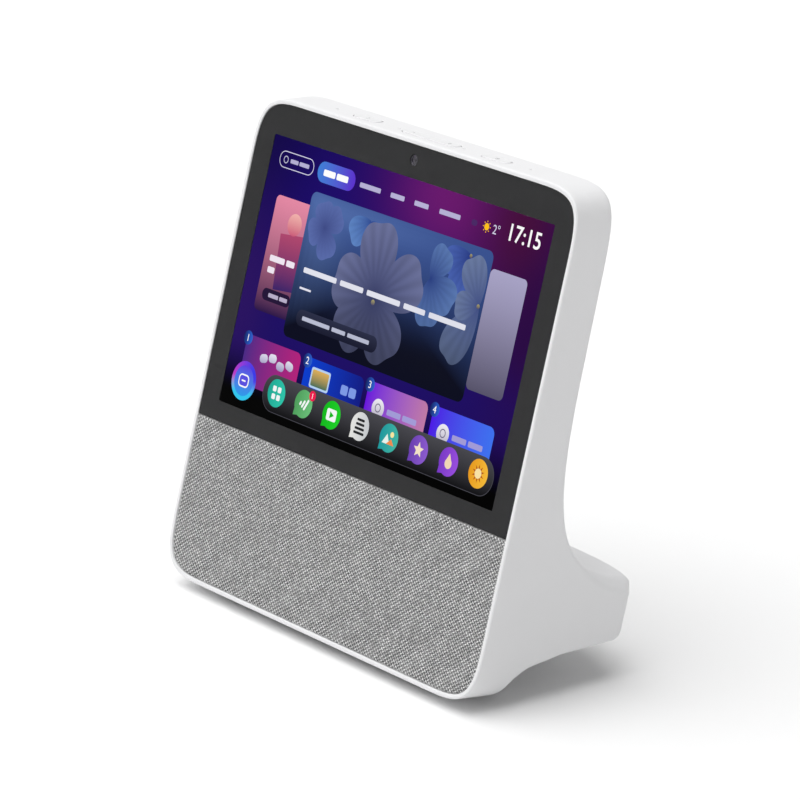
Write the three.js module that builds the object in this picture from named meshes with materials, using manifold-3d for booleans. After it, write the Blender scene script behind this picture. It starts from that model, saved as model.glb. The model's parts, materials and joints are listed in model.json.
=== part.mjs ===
// A free-standing smart display: an 8-inch screen above a fabric-covered speaker grille, in a moulded
// housing that sweeps back into a foot.
//
// Millimetres, +Z up, the screen faces -Y, and the origin is under the middle of the object on the table.
// Most pieces are laid out in the face frame: its origin is the middle of the screen, x runs to the right,
// y runs up the face and z points out of the glass. "Depth" is the distance behind the glass, so z = -depth.

import * as THREE from 'three';
import { mergeVertices } from 'three/addons/utils/BufferGeometryUtils.js';
import Module from 'manifold-3d';

const wasm = await Module();
wasm.setup();

// ---- Driving dimensions ----

const DEG = Math.PI / 180;
const TILT = 15.4 * DEG; // the face leans back from upright
const TOP_SWEEP = 12 * DEG; // the top wall runs back and up from the face at this angle
const BASE_SWEEP = 8 * DEG; // and the bottom of the base at this one
const CENTRE_HEIGHT = 126; // middle of the screen above the table

const SCREEN_WIDTH = 172.2;
const SCREEN_HEIGHT = 107.6;

const HALF_WIDTH = 99;
const FACE_TOP = 68.2;
const FACE_BOTTOM = -126.1;
const SEAM = -61.8; // where the glass ends and the fabric starts
const CORNER_REACH = 33; // a corner's curve starts this far along each edge
const CORNER_HANDLE = 1.6; // and its control points stop this short of the sharp corner

const RIM = 1.3; // the housing's edge around the glass
const GAP = 0.3; // between neighbours
const WALL = 2.2;
const OPENING_DEPTH = 6; // the rim's thin wall reaches this deep

const BODY_DEPTH = 17.8; // upper body, glass to back
const TOP_FILLET = 5;
const FLARE_START = 4; // the back starts to sweep out here
const FLARE_DEPTH = 62; // and has become the foot's top here
const FOOT_TOP = -73.2;
const REAR_MIDDLE = 82; // depth of the foot's rear at the middle
const REAR_PULL = 16.5; // how much shallower it is at the sides
const BASE_DEPTH = 21.2; // the part of the base that stands on the table
const BASE_FILLET = 6;
const ARCH_RISE = 5.8; // the foot's underside arches up from this far above the base's lower edge
const ARCH_LEAN = 32; // depth at which the arch's curve is aimed
const ARCH_END = 41.2; // and at which it has become level
const FLARE_DROP = -50; // the flare's two control points
const FLARE_LEAN = 26;
const UNDERSIDE_HEIGHT = 16.3; // the foot floats this far above the table

const PEDESTAL_HALF_WIDTH = 60; // hidden block that carries the foot
const PEDESTAL_FRONT = -14;
const PEDESTAL_REAR = 42;
const PEDESTAL_BOTTOM = 2.2;
const PEDESTAL_TOP = 17.5;
const PEDESTAL_CORNER = 14;

const BEYOND = 20; // cutters and swept outlines run this far past the work

// ---- Materials ----

function finish(color, roughness, metalness = 0) {
  return new THREE.MeshStandardMaterial({ color, roughness, metalness });
}

const housingWhite = () => finish('#f0f0f2', 0.55);
const keyWhite = () => finish('#eeeef0', 0.5);
const blackPlastic = () => finish('#1b1c1e', 0.6);
const greyPlastic = () => finish('#8b8d90', 0.7);
const glossyBlack = () => finish('#0b0c10', 0.08);
const darkGlass = () => finish('#101114', 0.1);
const wovenGrey = () => finish('#a2a3a6', 0.95);
const softRubber = () => finish('#3a3b3e', 0.9);
const boardGreen = () => finish('#1f5a3c', 0.6);
const bareSteel = () => finish('#b9bbbe', 0.35, 1);
const bareAluminium = () => finish('#c9cbce', 0.4, 1);
const darkMetal = () => finish('#4a4c50', 0.45, 0.9);
const flexAmber = () => finish('#8a5a20', 0.5);
const paperBlack = () => finish('#232426', 0.85);

// ---- Solids ----

function signedVolume(positions, triangles) {
  let total = 0;
  const corner = [new THREE.Vector3(), new THREE.Vector3(), new THREE.Vector3()];
  for (let i = 0; i < triangles.length; i += 3) {
    corner.forEach((point, k) => point.fromArray(positions, 3 * triangles[i + k]));
    total += corner[0].dot(corner[1].cross(corner[2])) / 6;
  }
  return total;
}

// Turns a closed geometry into a manifold solid whose faces point out.
function solid(geometry) {
  const bare = geometry.clone();
  bare.deleteAttribute('normal');
  bare.deleteAttribute('uv');
  const merged = mergeVertices(bare, 1e-4);
  const positions = merged.attributes.position.array;
  const index = merged.index.array;
  const triangles = [];
  for (let i = 0; i < index.length; i += 3) {
    const [a, b, c] = [index[i], index[i + 1], index[i + 2]];
    if (a !== b && b !== c && c !== a) triangles.push(a, b, c);
  }
  if (signedVolume(positions, triangles) < 0) triangles.reverse();
  return new wasm.Manifold(new wasm.Mesh({
    numProp: 3,
    vertProperties: Float32Array.from(positions),
    triVerts: Uint32Array.from(triangles),
  }));
}

function geometryOf(shape) {
  const { vertProperties, triVerts } = shape.getMesh();
  const geometry = new THREE.BufferGeometry();
  geometry.setAttribute('position', new THREE.BufferAttribute(vertProperties, 3));
  geometry.setIndex(new THREE.BufferAttribute(triVerts, 1));
  geometry.computeVertexNormals();
  return geometry;
}

const join = (first, ...others) => others.reduce((whole, piece) => whole.add(piece), first);
const cut = (first, ...others) => others.reduce((whole, piece) => whole.subtract(piece), first);
const common = (first, ...others) => others.reduce((whole, piece) => whole.intersect(piece), first);

function addPiece(parent, name, shape, material) {
  const mesh = new THREE.Mesh(geometryOf(shape), material);
  mesh.name = name;
  parent.add(mesh);
  return mesh;
}

// ---- Building blocks in the face frame ----

function extrude(shape, length, curveSegments = 8) {
  return new THREE.ExtrudeGeometry(shape, { depth: length, bevelEnabled: false, curveSegments });
}

// A flat outline in x and y, solid between two depths.
function slab(shape, nearDepth, farDepth) {
  return extrude(shape, farDepth - nearDepth).translate(0, 0, -farDepth);
}

// An outline in depth and y, solid between two x.
function rib(shape, leftX, rightX) {
  return extrude(shape, rightX - leftX).rotateY(Math.PI / 2).translate(leftX, 0, 0);
}

function block(leftX, rightX, lowY, highY, nearDepth, farDepth) {
  const size = [rightX - leftX, highY - lowY, farDepth - nearDepth];
  const middle = [(leftX + rightX) / 2, (lowY + highY) / 2, -(nearDepth + farDepth) / 2];
  return solid(new THREE.BoxGeometry(...size).translate(...middle));
}

// A profile of [radius, depth] points turned around an axis that runs straight back.
function turned(profile, x, y, segments = 24) {
  const points = profile.map(([radius, depth]) => new THREE.Vector2(radius, depth));
  return solid(new THREE.LatheGeometry(points, segments).rotateX(-Math.PI / 2).translate(x, y, 0));
}

// A round bar or bore that runs straight back.
function bar(radius, nearDepth, farDepth, x, y, segments = 24) {
  return turned([[0, nearDepth], [radius, nearDepth], [radius, farDepth], [0, farDepth]], x, y, segments);
}

function polygon(points) {
  return new THREE.Shape(points.map(([x, y]) => new THREE.Vector2(x, y)));
}

const topAt = (depth) => FACE_TOP + depth * Math.tan(TOP_SWEEP);
const bottomAt = (depth) => FACE_BOTTOM + depth * Math.tan(BASE_SWEEP);

// Everything that follows the housing's walls rises with depth, a little more at the top than at the base.
function sweptBack(geometry) {
  const spots = geometry.attributes.position;
  for (let i = 0; i < spots.count; i += 1) {
    const y = spots.getY(i);
    const share = (y - FACE_BOTTOM) / (FACE_TOP - FACE_BOTTOM);
    const slope = THREE.MathUtils.lerp(Math.tan(BASE_SWEEP), Math.tan(TOP_SWEEP), share);
    spots.setY(i, y - spots.getZ(i) * slope);
  }
  return geometry;
}

// The face's outline, moved in by a margin: straight edges and four soft corners.
function faceOutline(margin) {
  const right = HALF_WIDTH - margin;
  const top = FACE_TOP - margin;
  const bottom = FACE_BOTTOM + margin;
  const reach = CORNER_REACH - margin;
  const shape = new THREE.Shape();
  shape.moveTo(reach - right, bottom);
  shape.lineTo(right - reach, bottom);
  shape.bezierCurveTo(right - CORNER_HANDLE, bottom, right, bottom + CORNER_HANDLE, right, bottom + reach);
  shape.lineTo(right, top - reach);
  shape.bezierCurveTo(right, top - CORNER_HANDLE, right - CORNER_HANDLE, top, right - reach, top);
  shape.lineTo(reach - right, top);
  shape.bezierCurveTo(CORNER_HANDLE - right, top, -right, top - CORNER_HANDLE, -right, top - reach);
  shape.lineTo(-right, bottom + reach);
  shape.bezierCurveTo(-right, bottom + CORNER_HANDLE, CORNER_HANDLE - right, bottom, reach - right, bottom);
  return shape;
}

const acrossFace = (lowY, highY) => block(-HALF_WIDTH, HALF_WIDTH, lowY, highY, -BEYOND, BEYOND);
const aboveSeam = () => acrossFace(SEAM + GAP / 2, FACE_TOP + BEYOND);
const belowSeam = () => acrossFace(FACE_BOTTOM - BEYOND, SEAM - GAP / 2);

// ---- Building blocks in the table frame ----

const faceGroup = new THREE.Group();
faceGroup.rotation.x = Math.PI / 2 - TILT;
faceGroup.position.z = CENTRE_HEIGHT;
faceGroup.updateMatrix();
const TABLE_TO_FACE = faceGroup.matrix.clone().invert();

// The y up the face at which a surface level with the table passes through a depth.
const levelAt = (height, depth) => (height - CENTRE_HEIGHT + depth * Math.sin(TILT)) / Math.cos(TILT);

// A rounded rectangle in x and y, solid between two heights.
function pad(halfWidth, front, rear, corner, lowZ, highZ) {
  const shape = new THREE.Shape();
  shape.absarc(halfWidth - corner, front + corner, corner, -90 * DEG, 0);
  shape.absarc(halfWidth - corner, rear - corner, corner, 0, 90 * DEG);
  shape.absarc(corner - halfWidth, rear - corner, corner, 90 * DEG, 180 * DEG);
  shape.absarc(corner - halfWidth, front + corner, corner, 180 * DEG, 270 * DEG);
  return extrude(shape, highZ - lowZ).translate(0, 0, lowZ);
}

function disc(radius, x, y, lowZ, highZ, segments = 16) {
  const cylinder = new THREE.CylinderGeometry(radius, radius, highZ - lowZ, segments);
  return cylinder.rotateX(Math.PI / 2).translate(x, y, (lowZ + highZ) / 2);
}

const inFace = (geometry) => solid(geometry.applyMatrix4(TABLE_TO_FACE));

// ---- Housing ----

// Side view of the whole body, moved in by a margin. Its open ends run past the face outline, which
// makes the front, the top and the base's bottom.
function sideProfile(margin) {
  const back = BODY_DEPTH - margin;
  const roof = FOOT_TOP - margin;
  const wall = BASE_DEPTH - margin;
  const floor = (depth) => levelAt(UNDERSIDE_HEIGHT, depth) + margin / Math.cos(TILT);
  const far = REAR_MIDDLE + BEYOND;

  const baseArc = { x: BASE_DEPTH - BASE_FILLET, radius: BASE_FILLET - margin };
  baseArc.y = bottomAt(baseArc.x) + BASE_FILLET / Math.cos(BASE_SWEEP);
  const topArc = { x: BODY_DEPTH - TOP_FILLET, radius: TOP_FILLET - margin };
  topArc.y = topAt(topArc.x) - TOP_FILLET / Math.cos(TOP_SWEEP);

  const archStart = bottomAt(BASE_DEPTH) + ARCH_RISE;
  const archLift = archStart + ARCH_RISE + margin;
  const archLean = ARCH_LEAN - margin / 2;
  const flareLean = FLARE_LEAN - margin / 2;

  const shape = new THREE.Shape();
  shape.moveTo(-BEYOND, FACE_TOP + BEYOND);
  shape.lineTo(-BEYOND, FACE_BOTTOM - BEYOND);
  shape.lineTo(baseArc.x + baseArc.radius * Math.sin(BASE_SWEEP), FACE_BOTTOM - BEYOND);
  shape.absarc(baseArc.x, baseArc.y, baseArc.radius, BASE_SWEEP - 90 * DEG, 0);
  shape.lineTo(wall, archStart);
  shape.bezierCurveTo(wall, archLift, archLean, floor(archLean), ARCH_END, floor(ARCH_END));
  shape.lineTo(far, floor(far));
  shape.lineTo(far, roof);
  shape.lineTo(FLARE_DEPTH, roof);
  shape.bezierCurveTo(flareLean, roof, back, FLARE_DROP, back, FLARE_START);
  shape.absarc(topArc.x, topArc.y, topArc.radius, 0, 90 * DEG + TOP_SWEEP);
  shape.lineTo(topArc.x - topArc.radius * Math.sin(TOP_SWEEP), FACE_TOP + BEYOND);
  return shape;
}

const rearAt = (x) => REAR_MIDDLE - REAR_PULL * Math.abs(x / HALF_WIDTH) ** 4;

// Plan view looking down the face: a straight front and a rear that bulges at the middle.
function planOutline(margin) {
  const steps = 14;
  const side = HALF_WIDTH + 2;
  const points = [[-side, -BEYOND], [side, -BEYOND]];
  for (let i = 0; i <= steps; i += 1) {
    const x = side * Math.cos((i / steps) * Math.PI);
    points.push([x, rearAt(x) - margin]);
  }
  return polygon(points);
}

function bodyEnvelope(margin, nearDepth) {
  const side = HALF_WIDTH + BEYOND;
  const outline = sweptBack(slab(faceOutline(margin), nearDepth, REAR_MIDDLE + BEYOND));
  const profile = rib(sideProfile(margin), -side, side);
  const tall = FACE_TOP - FACE_BOTTOM + 4 * BEYOND;
  const plan = extrude(planOutline(margin), tall).rotateX(-Math.PI / 2);
  plan.translate(0, FACE_BOTTOM - 2 * BEYOND, 0);
  return common(solid(outline), solid(profile), solid(plan));
}

function pedestal(margin, front, lowZ, highZ) {
  const corner = PEDESTAL_CORNER - margin;
  return pad(PEDESTAL_HALF_WIDTH - margin, front, PEDESTAL_REAR - margin, corner, lowZ, highZ);
}

const PLATE_FRONT = PEDESTAL_FRONT + 5;
const PLATE_TOP = PEDESTAL_BOTTOM + 3;
const SCREW_X = PEDESTAL_HALF_WIDTH - 6.5;
const SCREW_SPOTS = [[-SCREW_X, 2], [SCREW_X, 2], [-SCREW_X, 25], [SCREW_X, 25]];
const SCREW_HOLE = 1.6;
const BOSS_RADIUS = 4.6;
const SCREW_TOP = 12.5;

const FRONT_FOOT = { halfWidth: 70, front: -26.5, rear: -14.5, corner: 5.5, sunk: 1.1 };

// A long rubber pad, flat on the table and let into the base's sloping bottom. The margin makes its pocket.
function frontFoot(margin, lowZ) {
  const { halfWidth, front, rear, corner, sunk } = FRONT_FOOT;
  const tall = inFace(pad(halfWidth + margin, front - margin, rear + margin, corner + margin, lowZ, BEYOND));
  const far = BODY_DEPTH + BEYOND;
  const section = polygon([
    [-BEYOND, FACE_BOTTOM - BEYOND], [far, FACE_BOTTOM - BEYOND],
    [far, bottomAt(far) + sunk + margin], [-BEYOND, bottomAt(-BEYOND) + sunk + margin],
  ]);
  return common(tall, solid(rib(section, -HALF_WIDTH, HALF_WIDTH)));
}

const JACK = {
  y: -84.5, halfSize: 5, back: 63.5, shoulder: 78.9, mouth: 81.6,
  barrel: 3.6, bore: 2.75, boreEnd: 70, hole: 4,
};

// The row of keys and microphone holes along the top wall.
const ROW_DEPTH = 6.8;
const KEY_WIDTH = 5;
const KEYS = { mic: { x: -39.5, length: 15 }, volume: { x: 0, length: 33 }, camera: { x: 39.5, length: 15 } };
const MICROPHONE_X = [-59.2, -19.7, 19.7, 59.2];
const MICROPHONE_HOLE = 0.6;

const rowGroup = new THREE.Group();
rowGroup.position.set(0, topAt(ROW_DEPTH), -ROW_DEPTH);
rowGroup.rotation.x = TOP_SWEEP;
rowGroup.updateMatrix();
faceGroup.add(rowGroup);

// In the row's own frame y is the height above the top wall's surface and z runs towards the glass.
function pill(length, width, lowY, highY) {
  const radius = width / 2;
  const shape = new THREE.Shape();
  shape.absarc(length / 2 - radius, 0, radius, -90 * DEG, 90 * DEG);
  shape.absarc(radius - length / 2, 0, radius, 90 * DEG, 270 * DEG);
  return extrude(shape, highY - lowY).rotateX(-Math.PI / 2).translate(0, lowY, 0);
}

function post(radius, x, lowY, highY, segments = 16) {
  const cylinder = new THREE.CylinderGeometry(radius, radius, highY - lowY, segments);
  return cylinder.translate(x, (lowY + highY) / 2, 0);
}

const fromRow = (geometry) => solid(geometry.applyMatrix4(rowGroup.matrix));

function topWallCutters() {
  const slots = Object.values(KEYS).map(({ x, length }) => (
    fromRow(pill(length + 2 * GAP, KEY_WIDTH + 2 * GAP, -WALL - 1, 1).translate(x, 0, 0))));
  const holes = MICROPHONE_X.map((x) => fromRow(post(MICROPHONE_HOLE, x, -WALL - 1, 1)));
  return [...slots, ...holes];
}

function rearHousing() {
  const block = inFace(pedestal(0, PEDESTAL_FRONT, PEDESTAL_BOTTOM, PEDESTAL_TOP));
  const hollow = inFace(pedestal(WALL, PLATE_FRONT, -BEYOND, PEDESTAL_TOP + 4));
  const outside = join(bodyEnvelope(0, 0), block);
  const inside = join(bodyEnvelope(WALL, OPENING_DEPTH), hollow);
  const opening = solid(sweptBack(slab(faceOutline(RIM), -1, OPENING_DEPTH + 1)));
  const bosses = SCREW_SPOTS.map(([x, y]) => inFace(disc(BOSS_RADIUS, x, y, PLATE_TOP + GAP, PEDESTAL_TOP)));
  const bossHoles = SCREW_SPOTS.map(([x, y]) => inFace(disc(SCREW_HOLE, x, y, 0, SCREW_TOP + GAP, 12)));
  const shell = join(cut(outside, inside, opening), ...bosses);
  const jackHole = bar(JACK.hole, JACK.shoulder - 3, JACK.mouth + BEYOND, 0, JACK.y);
  return cut(shell, ...bossHoles, frontFoot(GAP, -BEYOND), jackHole, ...topWallCutters());
}

// ---- Glass, screen and the frame that holds them ----

const GLASS_MARGIN = RIM + 0.4;
const GLASS = { front: 0.1, back: 1.3 };
const TAPE = { front: 1.6, back: 2.6 };
const FRAME = { front: 2.9, back: 4.8, margin: RIM + 0.7 };
const LCD = { halfWidth: SCREEN_WIDTH / 2 + 1.9, halfHeight: SCREEN_HEIGHT / 2 + 1.9, front: 1.7, back: 4.1 };
const TRAY = { front: 4.4, back: 5.8 };
const SPEAKER_OPENING = { halfWidth: 90, top: -65, bottom: -117 };
const CAMERA_Y = 60.5;
const CAMERA_HALF = 3.2;
const TAPE_MARGIN = 1.2; // the tape stops this far inside the glass
const LIGHT_SENSOR = { x: 14, halfWidth: 1.5, halfHeight: 1, front: 1.7, back: 2.7 };
const LIGHT_HOLE = { halfWidth: 3, halfHeight: 1.6 };
const KEY_RELIEF = { halfWidth: 50, height: 3.2 }; // cut from the frame's top edge to clear the keys

const coverGlass = () => common(solid(slab(faceOutline(GLASS_MARGIN), GLASS.front, GLASS.back)), aboveSeam());

function screenWindow(margin) {
  const right = LCD.halfWidth + margin;
  const top = LCD.halfHeight + margin;
  return block(-right, right, -top, top, -1, BEYOND);
}

function cameraNotch(margin) {
  const half = CAMERA_HALF + margin;
  return block(-half, half, CAMERA_Y - half, CAMERA_Y + half, -1, BEYOND);
}

function glassAdhesive() {
  const outline = faceOutline(GLASS_MARGIN + TAPE_MARGIN);
  const sheet = common(solid(slab(outline, TAPE.front, TAPE.back)), aboveSeam());
  const { halfWidth, halfHeight } = LIGHT_HOLE;
  const left = LIGHT_SENSOR.x - halfWidth;
  const right = LIGHT_SENSOR.x + halfWidth;
  const lightHole = block(left, right, CAMERA_Y - halfHeight, CAMERA_Y + halfHeight, -1, BEYOND);
  return cut(sheet, screenWindow(GAP), cameraNotch(GAP), lightHole);
}

function frontFrame() {
  const sheet = solid(sweptBack(slab(faceOutline(FRAME.margin), FRAME.front, FRAME.back)));
  const { halfWidth, top, bottom } = SPEAKER_OPENING;
  const speakers = block(-halfWidth, halfWidth, bottom, top, -1, BEYOND);
  const reliefLow = FACE_TOP - KEY_RELIEF.height;
  const reliefRight = KEY_RELIEF.halfWidth;
  const keyRelief = block(-reliefRight, reliefRight, reliefLow, FACE_TOP + BEYOND, -1, BEYOND);
  return cut(sheet, screenWindow(2 * GAP), cameraNotch(GAP), speakers, keyRelief);
}

function lcdPanel() {
  return block(-LCD.halfWidth, LCD.halfWidth, -LCD.halfHeight, LCD.halfHeight, LCD.front, LCD.back);
}

// A shallow metal tray with its edges folded forward.
function backlightTray() {
  const { halfWidth, halfHeight } = LCD;
  const outer = block(-halfWidth, halfWidth, -halfHeight, halfHeight, TRAY.front, TRAY.back);
  const lip = 1.2;
  const sheetThickness = 0.6;
  const right = halfWidth - lip;
  const top = halfHeight - lip;
  return cut(outer, block(-right, right, -top, top, 0, TRAY.back - sheetThickness));
}

// ---- Grille ----

const CARRIER = { front: 1.4, back: 2.6 };
const FABRIC = { front: 0.3, back: 1.1 };
const DRIVER_X = 52;
const DRIVER_Y = -90;
const SOUND_SLOT = { pitch: 4, reach: 18, halfWidth: 1, bridge: 1 };

function grilleFabric() {
  return common(solid(sweptBack(slab(faceOutline(GLASS_MARGIN), FABRIC.front, FABRIC.back))), belowSeam());
}

// A plate with a patch of slots in front of each driver.
function grilleCarrier() {
  const outline = sweptBack(slab(faceOutline(GLASS_MARGIN), CARRIER.front, CARRIER.back));
  const sheet = common(solid(outline), belowSeam());
  const { pitch, reach, halfWidth, bridge } = SOUND_SLOT;
  const slots = [];
  for (const centre of [-DRIVER_X, DRIVER_X]) {
    for (let dx = -4 * pitch; dx <= 4 * pitch; dx += pitch) {
      const half = Math.sqrt(reach ** 2 - dx ** 2);
      const left = centre + dx - halfWidth;
      const right = centre + dx + halfWidth;
      slots.push(block(left, right, DRIVER_Y + bridge, DRIVER_Y + half, -1, BEYOND));
      slots.push(block(left, right, DRIVER_Y - half, DRIVER_Y - bridge, -1, BEYOND));
    }
  }
  return cut(sheet, ...slots);
}

// ---- Speakers ----

const basket = (x) => turned([
  [20.5, 4.9], [20.5, 6.6], [17.3, 6.6], [16.2, 9], [11.5, 17], [5.3, 17], [5.3, 15.8], [10.5, 15.8],
  [15, 8.6], [16.5, 6], [16.5, 4.9], [20.5, 4.9],
], x, DRIVER_Y);

const magnet = (x) => turned([
  [0, 17.3], [3.4, 17.3], [3.4, 22], [5.2, 22], [5.2, 17.3], [11, 17.3], [11, 24], [0, 24],
], x, DRIVER_Y);

// Paper cone, dust cap and voice coil in one.
const cone = (x) => turned([
  [0, 9], [2.5, 9.6], [4.6, 11.4], [14, 6], [14.4, 6.5], [5, 12.6], [4.6, 12.9], [4.6, 20], [3.9, 20],
  [3.9, 12.4], [2.3, 10.4], [0, 9.8],
], x, DRIVER_Y);

const surround = (x) => turned([
  [19.8, 4.1], [19.8, 4.6], [17.6, 4.6], [16.3, 3.9], [15, 5], [14.7, 4.6], [16.3, 3.3], [17.8, 4.1],
  [19.8, 4.1],
], x, DRIVER_Y);

const SPEAKER_BOX = {
  front: 6.9, back: 28.6, knee: 17.8, top: -67, bottom: -111.6, rise: 9,
  wall: 1.8, halfWidth: 80, driverHole: 17.7,
};

function speakerBox() {
  const { front, back, knee, top, bottom, rise, wall, halfWidth, driverHole } = SPEAKER_BOX;
  const section = (margin) => polygon([
    [front + margin, bottom + margin],
    [knee - margin / 2, bottom + margin],
    [back - margin, bottom + rise + margin / 2],
    [back - margin, top - margin],
    [front + margin, top - margin],
  ]);
  const outer = solid(rib(section(0), -halfWidth, halfWidth));
  const inner = solid(rib(section(wall), wall - halfWidth, halfWidth - wall));
  const holes = [-DRIVER_X, DRIVER_X].map((x) => bar(driverHole, 0, front + wall + 1, x, DRIVER_Y));
  return cut(outer, inner, ...holes);
}

// ---- Electronics behind the screen ----

const BOARD = { halfWidth: 65, bottom: -45, top: 35, front: 10, back: 11.2 };
const SPREADER = { halfWidth: 75, bottom: -40, top: 45, front: 6.3, back: 7.1 };
const CHIP = { x: -12, y: 5 };

function sheet({ halfWidth, bottom, top, front, back }) {
  return block(-halfWidth, halfWidth, bottom, top, front, back);
}

const mainBoard = () => sheet(BOARD);
const heatSpreader = () => sheet(SPREADER);

const squareOnChip = (half, front, back) => (
  block(CHIP.x - half, CHIP.x + half, CHIP.y - half, CHIP.y + half, front, back));

const thermalPad = () => squareOnChip(10, 7.4, 7.9);
const processorShield = () => cut(squareOnChip(18, 8.2, 9.7), squareOnChip(17.6, 8.6, 12));

// A flat flexible cable: a path of [depth, y] points given a thickness towards the back.
function flexCable(path, x, width) {
  const thickness = 0.3;
  const outward = [...path].reverse().map(([depth, y]) => [depth + thickness, y - thickness / 4]);
  return solid(rib(polygon([...path, ...outward]), x - width / 2, x + width / 2));
}

const displayFlex = () => flexCable([[9.4, -30], [9.4, -41], [6.1, -46], [6.1, -52]], 20, 24);
const cameraFlex = () => flexCable([[6.1, 59.5], [6.1, 50], [9.4, 42], [9.4, 30]], 0, 6);
const keyFlex = () => flexCable([[8.4, 60.6], [8.4, 46], [9.4, 42], [9.4, 30]], 58, 6);

const ANTENNA = { fromWall: 1.2, thickness: 0.4, low: 10, high: 50, front: 6.5, back: 12.5 };
const CAMERA_BODY = { front: 3, back: 5.6, holeRadius: 1.4, holeEnd: 4 };

function antenna(side) {
  const { fromWall, thickness, low, high, front, back } = ANTENNA;
  const x = side * (HALF_WIDTH - WALL - fromWall);
  return block(x - thickness / 2, x + thickness / 2, low, high, front, back);
}

function cameraModule() {
  const { front, back, holeRadius, holeEnd } = CAMERA_BODY;
  const half = CAMERA_HALF;
  const body = block(-half, half, CAMERA_Y - half, CAMERA_Y + half, front, back);
  return cut(body, bar(holeRadius, 0, holeEnd, 0, CAMERA_Y));
}

const cameraLens = () => turned([[0, 1.9], [1.2, 1.7], [2.2, 1.7], [2.2, 2.7], [0, 2.7]], 0, CAMERA_Y, 24);

function lightSensor() {
  const { x, halfWidth, halfHeight, front, back } = LIGHT_SENSOR;
  return block(x - halfWidth, x + halfWidth, CAMERA_Y - halfHeight, CAMERA_Y + halfHeight, front, back);
}

// ---- Keys and microphones under the top wall, in the row's frame ----

const KEY_PROUD = 0.2;
const FLANGE_TOP = -WALL - GAP;
const FLANGE_BOTTOM = FLANGE_TOP - 0.9;
const SWITCH = { top: -5.4, bottom: -6.9, halfWidth: 3, halfDepth: 1.9 };
const KEY_BOARD = { top: -7.1, bottom: -8.1, halfWidth: 66, halfDepth: 2.4 };
const PLUNGER = { radius: 1, top: FLANGE_BOTTOM - GAP, bottom: SWITCH.top + 0.5 };
const VOLUME_SWITCH_X = 11;
const PIN = { y: -4.8, radius: 0.7, clearance: 0.1, halfLength: 2 };
const BOARD_CLEAR = 0.2; // parts stand this far off the key board
const MICROPHONE = { halfWidth: 1.9, halfDepth: 1.5, top: -5.9 };
const SEAL = { radius: 1.5, bottom: -5.6, bore: MICROPHONE_HOLE + 0.2 };

function rowBlock(x, halfWidth, lowY, highY, halfDepth) {
  const box = new THREE.BoxGeometry(2 * halfWidth, highY - lowY, 2 * halfDepth);
  return solid(box.translate(x, (lowY + highY) / 2, 0));
}

function shortKey({ x, length }) {
  const stem = solid(pill(length, KEY_WIDTH, FLANGE_TOP - 0.2, KEY_PROUD).translate(x, 0, 0));
  const flange = rowBlock(x, length / 2 + 1.2, FLANGE_BOTTOM, FLANGE_TOP, KEY_WIDTH / 2 - 0.3);
  return join(stem, flange);
}

function pinRod(radius, halfLength) {
  const rod = new THREE.CylinderGeometry(radius, radius, 2 * halfLength, 16);
  return solid(rod.rotateX(Math.PI / 2).translate(0, PIN.y, 0));
}

// A long key that rocks about a pin through the lug under its middle.
function volumeRocker() {
  const cap = solid(pill(KEYS.volume.length, KEY_WIDTH, FLANGE_BOTTOM, KEY_PROUD));
  const lug = rowBlock(0, 1.8, PIN.y - 1.3, FLANGE_TOP, 1.1);
  return cut(join(cap, lug), pinRod(PIN.radius + PIN.clearance, 2));
}

// Two ears that stand on the key board and hold the rocker's pin.
function rockerBracket() {
  const earTop = PIN.y + 1.1;
  const low = KEY_BOARD.top + BOARD_CLEAR;
  const foot = rowBlock(0, 3, low, low + 0.5, 2);
  const ears = cut(rowBlock(0, 1.6, low, earTop, 2), rowBlock(0, 4, -BEYOND, 0, 1.4));
  return cut(join(foot, ears), pinRod(PIN.radius + PIN.clearance, 4));
}

const keyBoard = () => rowBlock(0, KEY_BOARD.halfWidth, KEY_BOARD.bottom, KEY_BOARD.top, KEY_BOARD.halfDepth);
const switchBody = (x) => rowBlock(x, SWITCH.halfWidth, SWITCH.bottom, SWITCH.top, SWITCH.halfDepth);
const plunger = (x) => solid(post(PLUNGER.radius, x, PLUNGER.bottom, PLUNGER.top));

function microphone(x) {
  const { halfWidth, halfDepth, top } = MICROPHONE;
  return rowBlock(x, halfWidth, KEY_BOARD.top + BOARD_CLEAR, top, halfDepth);
}

function microphoneSeal(x) {
  const tube = solid(post(SEAL.radius, x, SEAL.bottom, -WALL - GAP));
  return cut(tube, solid(post(SEAL.bore, x, 2 * SEAL.bottom, 0, 12)));
}

// ---- Power input at the back of the foot ----

function dcJack() {
  const { y, halfSize, back, shoulder, mouth, barrel, bore, boreEnd } = JACK;
  const body = block(-halfSize, halfSize, y - halfSize, y + halfSize, back, shoulder);
  const nose = bar(barrel, shoulder - 1, mouth, 0, y);
  const hole = bar(bore, boreEnd, mouth + 1, 0, y);
  const centrePin = bar(0.9, boreEnd - 1, mouth - 1.2, 0, y, 12);
  return join(cut(join(body, nose), hole), centrePin);
}

// ---- Underside, in the table frame ----

const REAR_FOOT = { x: 42, y: 31, radius: 6.5, top: 3 };
const SCREW = { head: 2.6, headBottom: 2.4, headTop: 3.9, slotLength: 4, slotWidth: 0.7, slotDepth: 0.6 };

function basePlate() {
  const plate = solid(pedestal(WALL + GAP, PLATE_FRONT + GAP, PEDESTAL_BOTTOM, PLATE_TOP));
  const heads = SCREW_SPOTS.map(([x, y]) => solid(disc(SCREW.head + 0.4, x, y, 0, SCREW.headTop + GAP)));
  const shanks = SCREW_SPOTS.map(([x, y]) => solid(disc(SCREW_HOLE, x, y, 0, BEYOND, 12)));
  const pockets = [-REAR_FOOT.x, REAR_FOOT.x].map((x) => (
    solid(disc(REAR_FOOT.radius + GAP, x, REAR_FOOT.y, 0, REAR_FOOT.top + GAP))));
  return cut(plate, ...heads, ...shanks, ...pockets);
}

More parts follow.
